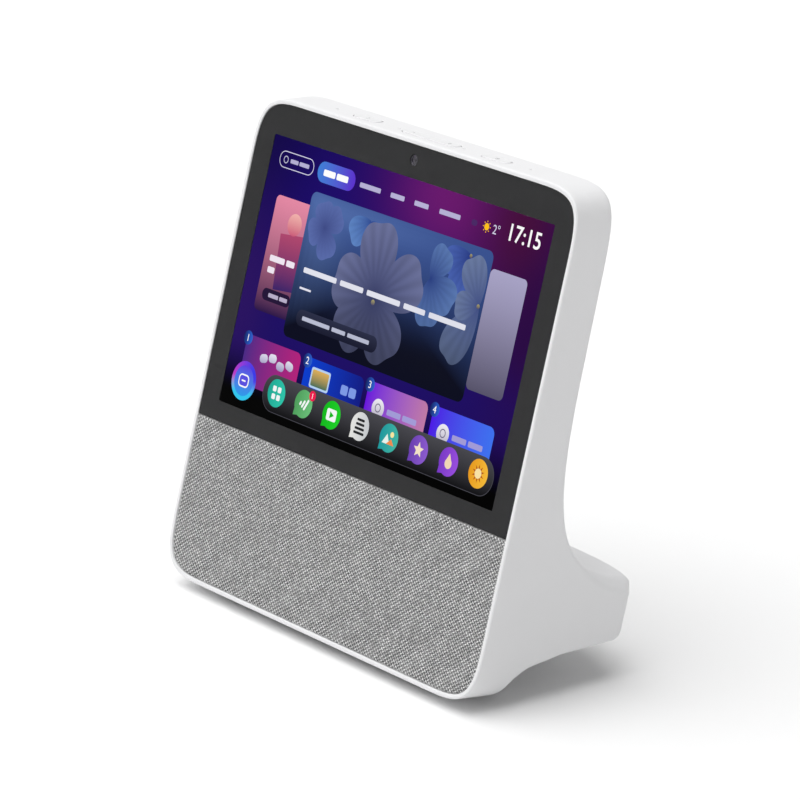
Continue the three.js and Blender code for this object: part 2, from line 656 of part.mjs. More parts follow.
const rearFoot = (x) => solid(disc(REAR_FOOT.radius, x, REAR_FOOT.y, 0, REAR_FOOT.top));

function baseScrew([x, y]) {
  const { head: radius, headBottom, headTop, slotLength, slotWidth, slotDepth } = SCREW;
  const head = solid(disc(radius, x, y, headBottom, headTop));
  const shank = solid(disc(SCREW_HOLE - GAP, x, y, headBottom + slotDepth, SCREW_TOP, 12));
  const slot = new THREE.BoxGeometry(slotLength, slotWidth, 2 * slotDepth).translate(x, y, headBottom);
  const driveSlot = solid(slot);
  return cut(join(head, shank), driveSlot);
}

// ---- The object ----

addPiece(faceGroup, 'rear_housing', rearHousing(), housingWhite());
addPiece(faceGroup, 'cover_glass', coverGlass(), darkGlass());
addPiece(faceGroup, 'glass_adhesive', glassAdhesive(), paperBlack());
addPiece(faceGroup, 'front_frame', frontFrame(), blackPlastic());
addPiece(faceGroup, 'lcd_panel', lcdPanel(), glossyBlack());
addPiece(faceGroup, 'backlight_tray', backlightTray(), bareAluminium());
addPiece(faceGroup, 'grille_fabric', grilleFabric(), wovenGrey());
addPiece(faceGroup, 'grille_carrier', grilleCarrier(), blackPlastic());
addPiece(faceGroup, 'heat_spreader', heatSpreader(), bareAluminium());
addPiece(faceGroup, 'thermal_pad', thermalPad(), greyPlastic());
addPiece(faceGroup, 'processor_shield', processorShield(), bareSteel());
addPiece(faceGroup, 'main_board', mainBoard(), boardGreen());
addPiece(faceGroup, 'display_flex', displayFlex(), flexAmber());
addPiece(faceGroup, 'camera_flex', cameraFlex(), flexAmber());
addPiece(faceGroup, 'key_flex', keyFlex(), flexAmber());
addPiece(faceGroup, 'camera_module', cameraModule(), blackPlastic());
addPiece(faceGroup, 'camera_lens', cameraLens(), glossyBlack());
addPiece(faceGroup, 'light_sensor', lightSensor(), paperBlack());
addPiece(faceGroup, 'speaker_box', speakerBox(), blackPlastic());
addPiece(faceGroup, 'dc_jack', dcJack(), blackPlastic());

for (const [side, sign] of [['left', -1], ['right', 1]]) {
  addPiece(faceGroup, `${side}_antenna`, antenna(sign), flexAmber());
  addPiece(faceGroup, `${side}_speaker_basket`, basket(sign * DRIVER_X), darkMetal());
  addPiece(faceGroup, `${side}_speaker_magnet`, magnet(sign * DRIVER_X), darkMetal());
  addPiece(faceGroup, `${side}_speaker_cone`, cone(sign * DRIVER_X), paperBlack());
  addPiece(faceGroup, `${side}_speaker_surround`, surround(sign * DRIVER_X), softRubber());
}

addPiece(rowGroup, 'key_board', keyBoard(), boardGreen());
addPiece(rowGroup, 'mic_key', shortKey(KEYS.mic), keyWhite());
addPiece(rowGroup, 'camera_key', shortKey(KEYS.camera), keyWhite());
addPiece(rowGroup, 'volume_rocker', volumeRocker(), keyWhite());
addPiece(rowGroup, 'rocker_bracket', rockerBracket(), bareSteel());
addPiece(rowGroup, 'rocker_pin', pinRod(PIN.radius, PIN.halfLength), bareSteel());

const SWITCH_SPOTS = {
  mic_key: KEYS.mic.x,
  camera_key: KEYS.camera.x,
  volume_down: -VOLUME_SWITCH_X,
  volume_up: VOLUME_SWITCH_X,
};
for (const [name, x] of Object.entries(SWITCH_SPOTS)) {
  addPiece(rowGroup, `${name}_switch`, switchBody(x), blackPlastic());
  addPiece(rowGroup, `${name}_plunger`, plunger(x), greyPlastic());
}

MICROPHONE_X.forEach((x, i) => {
  addPiece(rowGroup, `microphone_${i + 1}`, microphone(x), bareSteel());
  addPiece(rowGroup, `microphone_seal_${i + 1}`, microphoneSeal(x), softRubber());
});

const baseGroup = new THREE.Group();
addPiece(baseGroup, 'base_plate', basePlate(), greyPlastic());
addPiece(faceGroup, 'front_foot', frontFoot(0, 0), softRubber());
addPiece(baseGroup, 'rear_foot_left', rearFoot(-REAR_FOOT.x), softRubber());
addPiece(baseGroup, 'rear_foot_right', rearFoot(REAR_FOOT.x), softRubber());
SCREW_SPOTS.forEach((spot, i) => {
  addPiece(baseGroup, `base_screw_${i + 1}`, baseScrew(spot), bareSteel());
});

// Centre the object front to back over its origin.
const object = new THREE.Group();
object.name = 'smart_display';
object.add(faceGroup, baseGroup);
object.updateMatrixWorld(true);
const extent = new THREE.Box3().setFromObject(object, true);
object.position.y = -(extent.min.y + extent.max.y) / 2;
object.updateMatrixWorld(true);

export default object;
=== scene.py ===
"""The looks of a smart display: an 8-inch screen over a woven speaker grille in a white moulded housing.

Shapes are worked out in millimetres in the face frame: its origin is the middle of the screen, x runs
right, y runs up the face and z points out of the glass. "Depth" is the distance behind the glass, -z.
"""
import json
import math

import bmesh
import bpy
import numpy as np
from mathutils import Matrix, Vector


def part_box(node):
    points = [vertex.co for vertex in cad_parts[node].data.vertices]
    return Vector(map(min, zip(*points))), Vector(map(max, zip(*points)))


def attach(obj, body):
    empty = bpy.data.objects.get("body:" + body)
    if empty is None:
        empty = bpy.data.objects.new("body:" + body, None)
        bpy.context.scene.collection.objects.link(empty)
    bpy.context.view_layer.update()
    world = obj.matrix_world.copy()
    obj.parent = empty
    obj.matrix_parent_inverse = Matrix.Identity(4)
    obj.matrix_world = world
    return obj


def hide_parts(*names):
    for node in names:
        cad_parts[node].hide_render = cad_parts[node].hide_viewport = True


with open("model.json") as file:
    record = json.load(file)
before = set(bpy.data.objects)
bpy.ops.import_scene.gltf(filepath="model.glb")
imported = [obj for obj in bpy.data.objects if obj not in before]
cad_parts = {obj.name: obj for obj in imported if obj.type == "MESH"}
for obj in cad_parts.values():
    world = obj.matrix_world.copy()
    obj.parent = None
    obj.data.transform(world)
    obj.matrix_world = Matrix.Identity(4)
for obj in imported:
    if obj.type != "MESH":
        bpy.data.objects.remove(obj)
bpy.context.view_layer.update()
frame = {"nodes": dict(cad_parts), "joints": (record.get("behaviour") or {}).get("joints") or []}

MM = 0.001

# ---- Frames ----


def out_of_glass():
    joint = next(j for j in frame["joints"] if j["name"] == "left_cone_stroke")
    return Vector(joint["axis"]).normalized()


OUT = out_of_glass()
UP_FACE = Vector((0, OUT.z, -OUT.y))
SIN_TILT = OUT.z
COS_TILT = -OUT.y
LCD_MIDDLE_DEPTH = 2.9


def face_matrix():
    low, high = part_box("lcd_panel")
    origin = (low + high) / 2 + OUT * LCD_MIDDLE_DEPTH * MM
    turn = Matrix(((1, 0, 0), UP_FACE, OUT)).transposed().to_4x4()
    return Matrix.Translation(origin) @ turn @ Matrix.Scale(MM, 4)


FACE = face_matrix()
CENTRE_HEIGHT = FACE.translation.z / MM
TABLE = Matrix.Translation((0, FACE.translation.y, 0)) @ Matrix.Scale(MM, 4)


def to_face(points):
    """Points of the world as x, y and depth in the face frame."""
    back = np.array(FACE.inverted())
    local = points @ back[:3, :3].T + back[:3, 3]
    local[:, 2] *= -1
    return local


def face_box(name):
    """Lowest and highest x, y and depth of a CAD node in the face frame."""
    local = to_face(np.array([v.co for v in frame["nodes"][name].data.vertices]))
    return local.min(0), local.max(0)


# ---- Driving dimensions, all in millimetres ----

TOP_SLOPE = math.tan(math.radians(12))
BASE_SLOPE = math.tan(math.radians(8))
GLASS_MARGIN = 1.7
RIM = 1.8
WALL = 2.2
GAP = 0.3
OPENING_DEPTH = 6

HALF_WIDTH = face_box("rear_housing")[1][0]
GLASS_LOW, GLASS_HIGH = face_box("cover_glass")
FABRIC_LOW, FABRIC_HIGH = face_box("grille_fabric")
FACE_TOP = GLASS_HIGH[1] + GLASS_MARGIN
FACE_BOTTOM = FABRIC_LOW[1] - GLASS_MARGIN - FABRIC_LOW[2] * BASE_SLOPE
SEAM = (GLASS_LOW[1] + FABRIC_HIGH[1]) / 2
HALF_HEIGHT = (FACE_TOP - FACE_BOTTOM) / 2
FACE_MIDDLE = (FACE_TOP + FACE_BOTTOM) / 2
CORNER = 33  # how far a corner's curve reaches along each edge
CORNER_POWER = 4.485  # of the superellipse that the corner follows

BACK_AT_TOP = 17.3
BACK_LEAN = 0.018  # the back gets deeper by this much for each millimetre down
FLARE_START = 4
FLARE_DEPTH = 62
FOOT_TOP = -72.7
REAR_MIDDLE = face_box("rear_housing")[1][2]
REAR_PULL = 16.5
REAR_RADIUS = 3.4
SIDE_EDGE = 1.5  # rounding between the walls and the back, and what the top and the base add to it
TOP_EDGE_GAIN = 1.2
BASE_EDGE_GAIN = 4.6
BEVEL = 3.2
BASE_DEPTH = 21.2
BASE_EDGE = 0.6
UNDERSIDE_HEIGHT = 16.3
FLARE_DROP = -52  # the flare's two control points
FLARE_LEAN = 26
ARCH_RISE = 5.8
ARCH_LEAN = 32
ARCH_END = 41.2

PEDESTAL_HALF = Vector((60, 28))
PEDESTAL_MIDDLE = 14
PEDESTAL_CORNER = 14
PEDESTAL_BOTTOM = 2.2
PEDESTAL_TOP = 17.5
PEDESTAL_EDGE = 1.2
PEDESTAL_FILLET = 4
LOWEST = 1.8  # the base's lowest line above the table
CURVE_STEPS = 40
CORNER_STEPS = 34
SPACING = 1.5  # between points along the outline's straight sides
FINE_STEP = 0.3  # of the profile's lattice and of the gradients
SETTLE_ROUNDS = 3
ROUND_END_STEPS = 16
PAD_CORNER_STEPS = 8

# ---- Smooth fields: each gives a distance that is below zero inside ----


def length2(a, b):
    return np.sqrt(a * a + b * b)


def smoothstep(value, low, high):
    share = np.clip((value - low) / (high - low), 0, 1)
    return share * share * (3 - 2 * share)


def round_common(a, b, radius):
    """Both a and b, with the edge between them rounded."""
    outside = length2(np.maximum(a + radius, 0), np.maximum(b + radius, 0))
    return np.minimum(-radius, np.maximum(a, b)) + outside


def round_union(a, b, radius):
    """Either a or b, with the corner between them filled."""
    within = length2(np.maximum(radius - a, 0), np.maximum(radius - b, 0))
    return np.maximum(radius, np.minimum(a, b)) - within


def outline_field(x, y):
    """The face's outline: a rectangle with superellipse corners."""
    across = np.abs(x) - (HALF_WIDTH - CORNER)
    along = np.abs(y - FACE_MIDDLE) - (HALF_HEIGHT - CORNER)
    u = np.maximum(across, 0) / CORNER
    v = np.maximum(along, 0) / CORNER
    reach = np.maximum((u**CORNER_POWER + v**CORNER_POWER) ** (1 / CORNER_POWER), 1e-6)
    steepness = length2((u / reach) ** (CORNER_POWER - 1), (v / reach) ** (CORNER_POWER - 1))
    rounded = CORNER * (reach - 1) / np.maximum(steepness, 0.5)
    return np.where(reach > 1e-5, rounded, np.maximum(across, along) - CORNER)


SLOPE_GAIN = (TOP_SLOPE - BASE_SLOPE) / (FACE_TOP - FACE_BOTTOM)
SLOPE_AT_MIDDLE = BASE_SLOPE - SLOPE_GAIN * FACE_BOTTOM


def swept(y, depth):
    """Where a point of the outline ends up at a depth: walls rise towards the back, more at the top."""
    return y + depth * (SLOPE_AT_MIDDLE + SLOPE_GAIN * y)


def unswept(y, depth):
    return (y - SLOPE_AT_MIDDLE * depth) / (1 + SLOPE_GAIN * depth)


def level_at(height, depth):
    """The y up the face where a surface level with the table passes through a depth."""
    return (height - CENTRE_HEIGHT + depth * SIN_TILT) / COS_TILT


def bezier(start, first, second, end):
    t = np.linspace(0, 1, CURVE_STEPS + 1)[:, None]
    points = [np.array(p, float) for p in (start, first, second, end)]
    weights = [(1 - t) ** 3, 3 * t * (1 - t) ** 2, 3 * t * t * (1 - t), t**3]
    return sum(w * p for w, p in zip(weights, points))


def back_depth(y):
    """Depth of the upper body's back, which leans a little."""
    return BACK_AT_TOP + BACK_LEAN * (FACE_TOP - y)


def side_profile():
    """Depth and y of the body's side view, from above its top down the back, the foot and the base."""
    beyond = 40
    far = REAR_MIDDLE + beyond
    arch_start = FACE_BOTTOM + BASE_DEPTH * BASE_SLOPE + ARCH_RISE
    arch_lean = (ARCH_LEAN, level_at(UNDERSIDE_HEIGHT, ARCH_LEAN))
    arch_end = (ARCH_END, level_at(UNDERSIDE_HEIGHT, ARCH_END))
    lean, drop = (np.array([back_depth(y), y]) for y in (FLARE_START, FLARE_DROP))
    flare = bezier(lean, drop, (FLARE_LEAN, FOOT_TOP), (FLARE_DEPTH, FOOT_TOP))
    arch = bezier(arch_end, arch_lean, (BASE_DEPTH, arch_start + ARCH_RISE), (BASE_DEPTH, arch_start))
    above = FACE_TOP + beyond
    ends = [
        [(back_depth(above), above)],
        flare,
        [(far, FOOT_TOP), (far, level_at(UNDERSIDE_HEIGHT, far))],
        arch,
        [(BASE_DEPTH, FACE_BOTTOM - beyond)],
        [(-beyond, FACE_BOTTOM - beyond), (-beyond, FACE_TOP + beyond)],
    ]
    return np.concatenate([np.array(part, float) for part in ends])


class ProfileTable:
    """Distance to the side profile, worked out once on a fine lattice."""

    def __init__(self):
        spare = 6
        self.low = np.array([-spare / 2, FACE_BOTTOM - spare])
        high = np.array([REAR_MIDDLE + spare, FACE_TOP + 2 * spare])
        count = np.ceil((high - self.low) / FINE_STEP).astype(int)
        lines = [low + FINE_STEP * np.arange(size + 1) for low, size in zip(self.low, count)]
        depth, y = np.meshgrid(*lines, indexing="ij")
        nearest = np.full(depth.shape, np.inf)
        inside = np.zeros(depth.shape, bool)
        corners = side_profile()
        for (ax, ay), (bx, by) in zip(corners, np.roll(corners, -1, axis=0)):
            dx, dy = bx - ax, by - ay
            along = np.clip(((depth - ax) * dx + (y - ay) * dy) / (dx * dx + dy * dy + 1e-12), 0, 1)
            nearest = np.minimum(nearest, (depth - ax - along * dx) ** 2 + (y - ay - along * dy) ** 2)
            if ay != by:
                crosses = (ay > y) != (by > y)
                inside ^= crosses & (depth < ax + (y - ay) * dx / dy)
        self.values = np.where(inside, -1, 1) * np.sqrt(nearest)

    def __call__(self, depth, y):
        """The value between the four nearest lattice points."""
        last = np.array(self.values.shape) - 2
        i = np.clip((depth - self.low[0]) / FINE_STEP, 0, last[0] + 0.999)
        j = np.clip((y - self.low[1]) / FINE_STEP, 0, last[1] + 0.999)
        i0, j0 = i.astype(int), j.astype(int)
        s, t = i - i0, j - j0
        table = self.values
        near = table[i0, j0] * (1 - t) + table[i0, j0 + 1] * t
        far = table[i0 + 1, j0] * (1 - t) + table[i0 + 1, j0 + 1] * t
        return near * (1 - s) + far * s


profile_field = ProfileTable()


def rear_field(x, depth):
    """The foot's rear, which bulges at the middle."""
    share = np.minimum(np.abs(x) / HALF_WIDTH, 1.05)
    slope = 4 * REAR_PULL / HALF_WIDTH * share**3
    return (depth - REAR_MIDDLE + REAR_PULL * share**4) / np.sqrt(1 + slope**2)


def table_place(y, depth):
    """Distance back along the table and height above it of a point in the face frame."""
    return depth * COS_TILT + y * SIN_TILT, CENTRE_HEIGHT + y * COS_TILT - depth * SIN_TILT


def pedestal_field(x, back, height):
    """The hidden block under the foot: a rounded rectangle standing on the table."""
    across = np.abs(x) - (PEDESTAL_HALF.x - PEDESTAL_CORNER)
    along = np.abs(back - PEDESTAL_MIDDLE) - (PEDESTAL_HALF.y - PEDESTAL_CORNER)
    outside = length2(np.maximum(across, 0), np.maximum(along, 0))
    sides = outside + np.minimum(np.maximum(across, along), 0) - PEDESTAL_CORNER
    return np.maximum(round_common(sides, PEDESTAL_BOTTOM - height, PEDESTAL_EDGE), height - PEDESTAL_TOP)


def side_edge_radius(y, depth):
    """Rounding between the walls and the back: wide at the top and the base, narrow down the sides."""
    at_top = TOP_EDGE_GAIN * smoothstep(y, 36, 64)
    at_base = BASE_EDGE_GAIN * smoothstep(-y, 98, 122) * (1 - smoothstep(depth, 24, 34))
    return SIDE_EDGE + at_top + at_base


def with_bevel(body, walls, profile, y, depth):
    """Takes a band off the foot's upper side edges, narrow at the flare and wider towards the rear."""
    width = BEVEL * smoothstep(depth, BASE_DEPTH + 0.8, REAR_MIDDLE - REAR_PULL)
    out_of_reach = 20 * smoothstep(FOOT_TOP - y, 6, 16)
    return round_common(body, (walls + profile) * math.sqrt(0.5) + width - out_of_reach, SIDE_EDGE)


def housing_field(x, y, depth):
    flat_y = unswept(y, depth)
    back, height = table_place(y, depth)
    walls = outline_field(x, flat_y)
    profile = profile_field(depth, y)
    body = round_common(walls, profile, side_edge_radius(flat_y, depth))
    body = with_bevel(body, walls, profile, y, depth)
    body = round_common(body, rear_field(x, depth), REAR_RADIUS)
    standing = round_union(body, pedestal_field(x, back, height), PEDESTAL_FILLET)
    return round_common(standing, LOWEST - height, BASE_EDGE)


def gradient(field, points):
    """Central differences of a field at points of x, y and depth."""
    columns = []
    for axis in range(3):
        shift = np.zeros(3)
        shift[axis] = FINE_STEP
        columns.append((field(*(points + shift).T) - field(*(points - shift).T)) / (2 * FINE_STEP))
    return np.stack(columns, 1)


# ---- Meshes from fields ----


def graded(stops):
    """Coordinates from [(start, step), ..., (end, None)], with each step used up to the next stop."""
    runs = []
    for (start, step), (end, _) in zip(stops, stops[1:]):
        count = max(1, round((end - start) / step))
        runs.append(np.linspace(start, end, count, endpoint=False))
    runs.append([stops[-1][0]])
    return np.concatenate(runs)


def surface_net(values, axes):
    """Vertices and quads of the zero surface of values sampled at the axes' coordinates."""
    cells = np.array(values.shape) - 1
    corners, sums, quads = [], [], []
    for axis in range(3):
        u, v = [(1, 2), (2, 0), (0, 1)][axis]
        a = np.moveaxis(values, axis, 0)[:-1]
        b = np.moveaxis(values, axis, 0)[1:]
        hit = np.argwhere((a < 0) != (b < 0))
        near, far = a[tuple(hit.T)], b[tuple(hit.T)]
        order = [axis] + [k for k in range(3) if k != axis]
        spot = np.empty_like(hit)
        spot[:, order] = hit
        point = np.stack([axes[k][spot[:, k]] for k in range(3)], 1)
        stride = axes[axis][spot[:, axis] + 1] - axes[axis][spot[:, axis]]
        point[:, axis] += stride * near / (near - far)
        around = []
        for du, dv in ((0, 0), (-1, 0), (-1, -1), (0, -1)):
            cell = spot.copy()
            cell[:, u] += du
            cell[:, v] += dv
            around.append(cell)
        around = np.stack(around, 1)
        valid = ((around >= 0) & (around < cells)).all(2)
        keys = np.ravel_multi_index(np.moveaxis(np.clip(around, 0, cells - 1), 2, 0), cells)
        corners.append(keys[valid])
        sums.append(np.repeat(point[:, None, :], 4, 1)[valid])
        whole = valid.all(1)
        turned = keys[whole]
        flip = near[whole] > 0
        turned[flip] = turned[flip][:, ::-1]
        quads.append(turned)
    keys, place = np.unique(np.concatenate(corners), return_inverse=True)
    place = place.ravel()
    points = np.concatenate(sums)
    total = np.stack([np.bincount(place, points[:, k]) for k in range(3)], 1)
    vertices = total / np.bincount(place)[:, None]
    return vertices, np.searchsorted(keys, np.concatenate(quads))


def settle(points, field):
    """Moves points onto the zero surface of a field."""
    for _ in range(SETTLE_ROUNDS):
        slope = gradient(field, points)
        size = np.maximum((slope**2).sum(1), 0.2)
        points = points - slope * (field(*points.T) / size)[:, None]
    return points


def zip_loops(first, second):
    """Triangles between two closed loops of (vertex, angle), both sorted by angle."""
    triangles = []
    i = j = 0
    while i < len(first) or j < len(second):
        a, a_next = first[i % len(first)], first[(i + 1) % len(first)]
        b, b_next = second[j % len(second)], second[(j + 1) % len(second)]
        a_angle = a_next[1] + 2 * math.pi * ((i + 1) // len(first))
        b_angle = b_next[1] + 2 * math.pi * ((j + 1) // len(second))
        if j >= len(second) or (i < len(first) and a_angle <= b_angle):
            triangles.append((a[0], a_next[0], b[0]))
            i += 1
        else:
            triangles.append((a[0], b_next[0], b[0]))
            j += 1
    return triangles


def face_angle(x, y):
    return np.arctan2(y - FACE_MIDDLE, x)


def sorted_loop(indices, points):
    angles = face_angle(points[:, 0], unswept(points[:, 1], points[:, 2]))
    order = np.argsort(angles)
    return [(int(indices[k]), float(angles[k])) for k in order]


# ---- Outlines and lofts ----


def outline_points(margin):
    """The face's outline moved in by a margin, anticlockwise from the middle of the bottom edge."""
    angles = np.linspace(0, math.pi / 2, CORNER_STEPS + 1)
    u, v = np.cos(angles), np.sin(angles)
    reach = (u**CORNER_POWER + v**CORNER_POWER) ** (-1 / CORNER_POWER)
    u, v = u * reach, v * reach
    normal = np.stack([u ** (CORNER_POWER - 1), v ** (CORNER_POWER - 1)], 1)
    normal /= np.linalg.norm(normal, axis=1)[:, None]
    centre = np.array([HALF_WIDTH - CORNER, HALF_HEIGHT - CORNER])
    upper_right = centre + CORNER * np.stack([u, v], 1) - margin * normal
    lower_right = (upper_right * [1, -1])[::-1]
    right = np.concatenate([lower_right, fill(lower_right[-1], upper_right[0], SPACING), upper_right])
    bottom = fill((0, lower_right[0][1]), lower_right[0], SPACING)
    top = fill(upper_right[-1], (0, upper_right[-1][1]), SPACING)
    half = np.concatenate([[(0, lower_right[0][1])], bottom, right, top, [(0, upper_right[-1][1])]])
    whole = np.concatenate([half, (half * [-1, 1])[-2:0:-1]])
    return whole + [0, FACE_MIDDLE]


def fill(start, end, spacing):
    """Points strictly between two ends."""
    start, end = np.array(start, float), np.array(end, float)
    count = max(1, int(np.linalg.norm(end - start) / spacing))
    shares = np.arange(1, count) / count
    return start + shares[:, None] * (end - start)


def raised(outline, height):
    """A flat outline as points of x, y and z at a height."""
    return np.column_stack([outline, np.full(len(outline), float(height))])


def quad_strips(first, rows, count):
    """Quads between rows of closed loops of count vertices, numbered from first."""
    start = first + np.arange(rows - 1)[:, None] * count
    along = np.arange(count)
    following = (along + 1) % count
    quads = [start + along, start + following, start + count + following, start + count + along]
    return np.stack(quads, 2).reshape(-1, 4).tolist()


def loft(loops):
    """A closed skin over loops with equal counts; flat caps close its first and last loop."""
    count = len(loops[0])
    vertices = np.concatenate(loops)
    last = len(vertices) - count
    caps = [list(range(count))[::-1], list(range(last, last + count))]
    return vertices, quad_strips(0, len(loops), count) + caps


def arc(radius, steps=4):
    """Inset and drop of a rounded edge, from the wall to the flat."""
    turns = np.linspace(0, math.pi / 2, steps + 1)
    return [(radius * (1 - math.cos(t)), radius * (1 - math.sin(t))) for t in turns]


# ---- Pieces ----


def make_mesh(name, vertices, faces, matrix=FACE):
    mesh = bpy.data.meshes.new(name)
    mesh.from_pydata([tuple(v) for v in vertices], [], faces)
    mesh.transform(matrix)
    mesh.update()
    return mesh


def add_object(name, mesh):
    piece = bpy.data.objects.new(name, mesh)
    bpy.context.scene.collection.objects.link(piece)
    return piece


def make_outward(mesh):
    """Turns a closed mesh's faces outwards."""
    work = bmesh.new()
    work.from_mesh(mesh)
    bmesh.ops.recalc_face_normals(work, faces=work.faces)
    work.to_mesh(mesh)
    work.free()


def solid(name, vertices, faces, matrix=FACE):
    piece = add_object(name, make_mesh(name, vertices, faces, matrix))
    make_outward(piece.data)
    return piece


def shade(piece, degrees=35):
    piece.data.shade_smooth()
    piece.data.set_sharp_from_angle(angle=math.radians(degrees))


def combine(piece, tool, operation):
    """Cuts or joins a piece with a tool, which is then thrown away."""
    modifier = piece.modifiers.new("combine", "BOOLEAN")
    modifier.operation = operation
    modifier.solver = "MANIFOLD"
    modifier.object = tool
    result = bpy.data.meshes.new_from_object(piece.evaluated_get(bpy.context.evaluated_depsgraph_get()))
    piece.modifiers.clear()
    piece.data = result
    bpy.data.objects.remove(tool)
    return piece


def merged(name, parts):
    """One object from several, which are thrown away."""
    work = bmesh.new()
    for part in parts:
        work.from_mesh(part.data)
        bpy.data.objects.remove(part)
    mesh = bpy.data.meshes.new(name)
    work.to_mesh(mesh)
    work.free()
    return add_object(name, mesh)


def install(piece, material, body="housing", replaces=()):
    piece.data.materials.clear()
    piece.data.materials.append(material)
    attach(piece, body)
    if replaces:
        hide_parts(*replaces)
    return piece


# ---- Housing ----

JOIN_DEPTH = 7.0  # the drawn rim ends and the body's surface starts here


def rim_section():
    """Inset and depth around the rim's edge: outer wall, rounded front, inner wall and its step."""
    outer = [(inset, drop) for inset, drop in arc(0.6, 6)]
    inner = [(RIM - inset, drop) for inset, drop in reversed(arc(0.25, 3))]
    wall = [(0, JOIN_DEPTH), (0, 5), (0, 3), (0, 1.5)]
    step = [(RIM, 1.5), (RIM, OPENING_DEPTH), (WALL, OPENING_DEPTH), (WALL, JOIN_DEPTH)]
    return wall + outer + inner + step


def body_axes():
    half_x = [(0, 1.4), (60, 1.1), (88, 0.8), (94, 0.5), (HALF_WIDTH + 1.5, None)]
    right = graded(half_x)
    x = np.concatenate([-right[:0:-1], right])
    y = graded([
        (FACE_BOTTOM - 3, 0.7), (-112, 1.0), (-98, 0.8), (-66, 1.1), (-40, 1.6), (50, 0.9),
        (FACE_TOP + BACK_AT_TOP * TOP_SLOPE + 2, None),
    ])
    depth = graded([
        (JOIN_DEPTH, 1.0), (11, 0.6), (18, 0.7), (26, 1.0), (60, 0.75), (REAR_MIDDLE + 2, None),
    ])
    return x, y, depth


def housing_shell():
    """Vertices of x, y and depth, and faces, of the closed shell before its holes are cut."""
    section = rim_section()
    loops = []
    for inset, depth in section:
        flat = outline_points(inset)
        loops.append(np.stack([flat[:, 0], swept(flat[:, 1], depth), np.full(len(flat), depth)], 1))
    count = len(loops[0])
    vertices = [np.concatenate(loops)]
    faces = quad_strips(0, len(loops), count)
    first = len(vertices[0])

    axes = body_axes()
    values = housing_field(*np.meshgrid(*axes, indexing="ij"))
    ends = {0: np.arange(count), WALL: np.arange(first - count, first)}
    for offset, stride in ((0, 1), (WALL, 2)):
        picked = values[::stride, ::stride, ::stride] + offset
        net, quads = surface_net(picked, [a[::stride] for a in axes])
        net = settle(net, lambda x, y, depth: housing_field(x, y, depth) + offset)
        open_loop = np.unique(open_edges(quads))
        net_loop = sorted_loop(first + open_loop, net[open_loop])
        end = ends[offset]
        rim_loop = sorted_loop(end, vertices[0][end])
        band = zip_loops(rim_loop, net_loop)
        if offset:
            quads = quads[:, ::-1]
            band = [t[::-1] for t in band]
        faces += (first + quads).tolist() + band
        vertices.append(net)
        first += len(net)
    return np.concatenate(vertices), faces


def open_edges(quads):
    """Edges that only one quad uses, as that quad runs along them."""
    edges = np.concatenate([quads[:, [k, (k + 1) % 4]] for k in range(4)])
    keys = np.sort(edges, axis=1)
    _, first, times = np.unique(keys, axis=0, return_index=True, return_counts=True)
    return edges[first[times == 1]]


def read(items, key, width, kind=float):
    """One attribute of a mesh's items, a row for each."""
    values = np.empty(len(items) * width, kind)
    items.foreach_get(key, values)
    return values.reshape(-1, width)


def polish_normals(mesh):
    """Smooth normals taken from the field itself wherever a vertex lies on its surface."""
    mesh.shade_smooth()
    mesh.set_sharp_from_angle(angle=math.radians(35))
    local = to_face(read(mesh.vertices, "co", 3))
    value = housing_field(*local.T)
    slope = gradient(housing_field, local)
    slope /= np.maximum(np.linalg.norm(slope, axis=1), 1e-9)[:, None]
    slope[:, 2] *= -1
    world = slope @ np.array(FACE.to_3x3()).T / MM
    near = 0.05
    outside, inside = np.abs(value) < near, np.abs(value + WALL) < near
    world[inside] *= -1
    usable = (outside | inside) & (local[:, 2] > 1)

    corner = read(mesh.loops, "vertex_index", 1, int)[:, 0]
    normals = read(mesh.corner_normals, "vector", 3)
    sizes = read(mesh.polygons, "loop_total", 1, int)[:, 0]
    flat = np.repeat(read(mesh.polygons, "normal", 3), sizes, axis=0)
    agrees = (world[corner] * flat).sum(1) > 0.8
    chosen = usable[corner] & agrees
    normals[chosen] = world[corner][chosen]
    mesh.normals_split_custom_set(normals.tolist())


ROW_DEPTH = 6.8
KEY_WIDTH = 5
KEY_PROUD = 0.2
KEYS = {"mic_key": (-39.5, 15), "volume_rocker": (0, 33), "camera_key": (39.5, 15)}
MICROPHONE_X = (-59.2, -19.7, 19.7, 59.2)
MICROPHONE_HOLE = 0.6
ROW = (
    FACE
    @ Matrix.Translation((0, FACE_TOP + ROW_DEPTH * TOP_SLOPE, -ROW_DEPTH))
    @ Matrix.Rotation(math.atan(TOP_SLOPE), 4, "X")
)


def pill_loop(length, width, height, x):
    """A round-ended bar's outline in the key row's frame: x along the row, y up, z to the glass."""
    radius = width / 2
    half = length / 2 - radius
    turns = np.linspace(-math.pi / 2, math.pi / 2, ROUND_END_STEPS + 1)
    right = np.stack([half + radius * np.cos(turns), radius * np.sin(turns)], 1)
    loop = np.concatenate([right, -right])
    return np.stack([x + loop[:, 0], np.full(len(loop), height), loop[:, 1]], 1)


def pill_solid(name, length, width, section, x=0):
    """A round-ended bar lofted through (inset, height) pairs."""
    loops = [pill_loop(length - 2 * inset, width - 2 * inset, height, x) for inset, height in section]
    return solid(name, *loft(loops), ROW)


def disc_loop(radius, height, x, y, steps):
    turns = np.arange(steps) * 2 * math.pi / steps
    return np.stack([x + radius * np.cos(turns), y + radius * np.sin(turns), np.full(steps, height)], 1)


def eased_cut(gap, ease, slope):
    """Section of a cutter that runs through the wall and widens by an easing at the mouth."""
    return [(-gap, -WALL - 1.2), (-gap, -slope), (-gap - ease, 0.05), (-gap - ease, 1)]


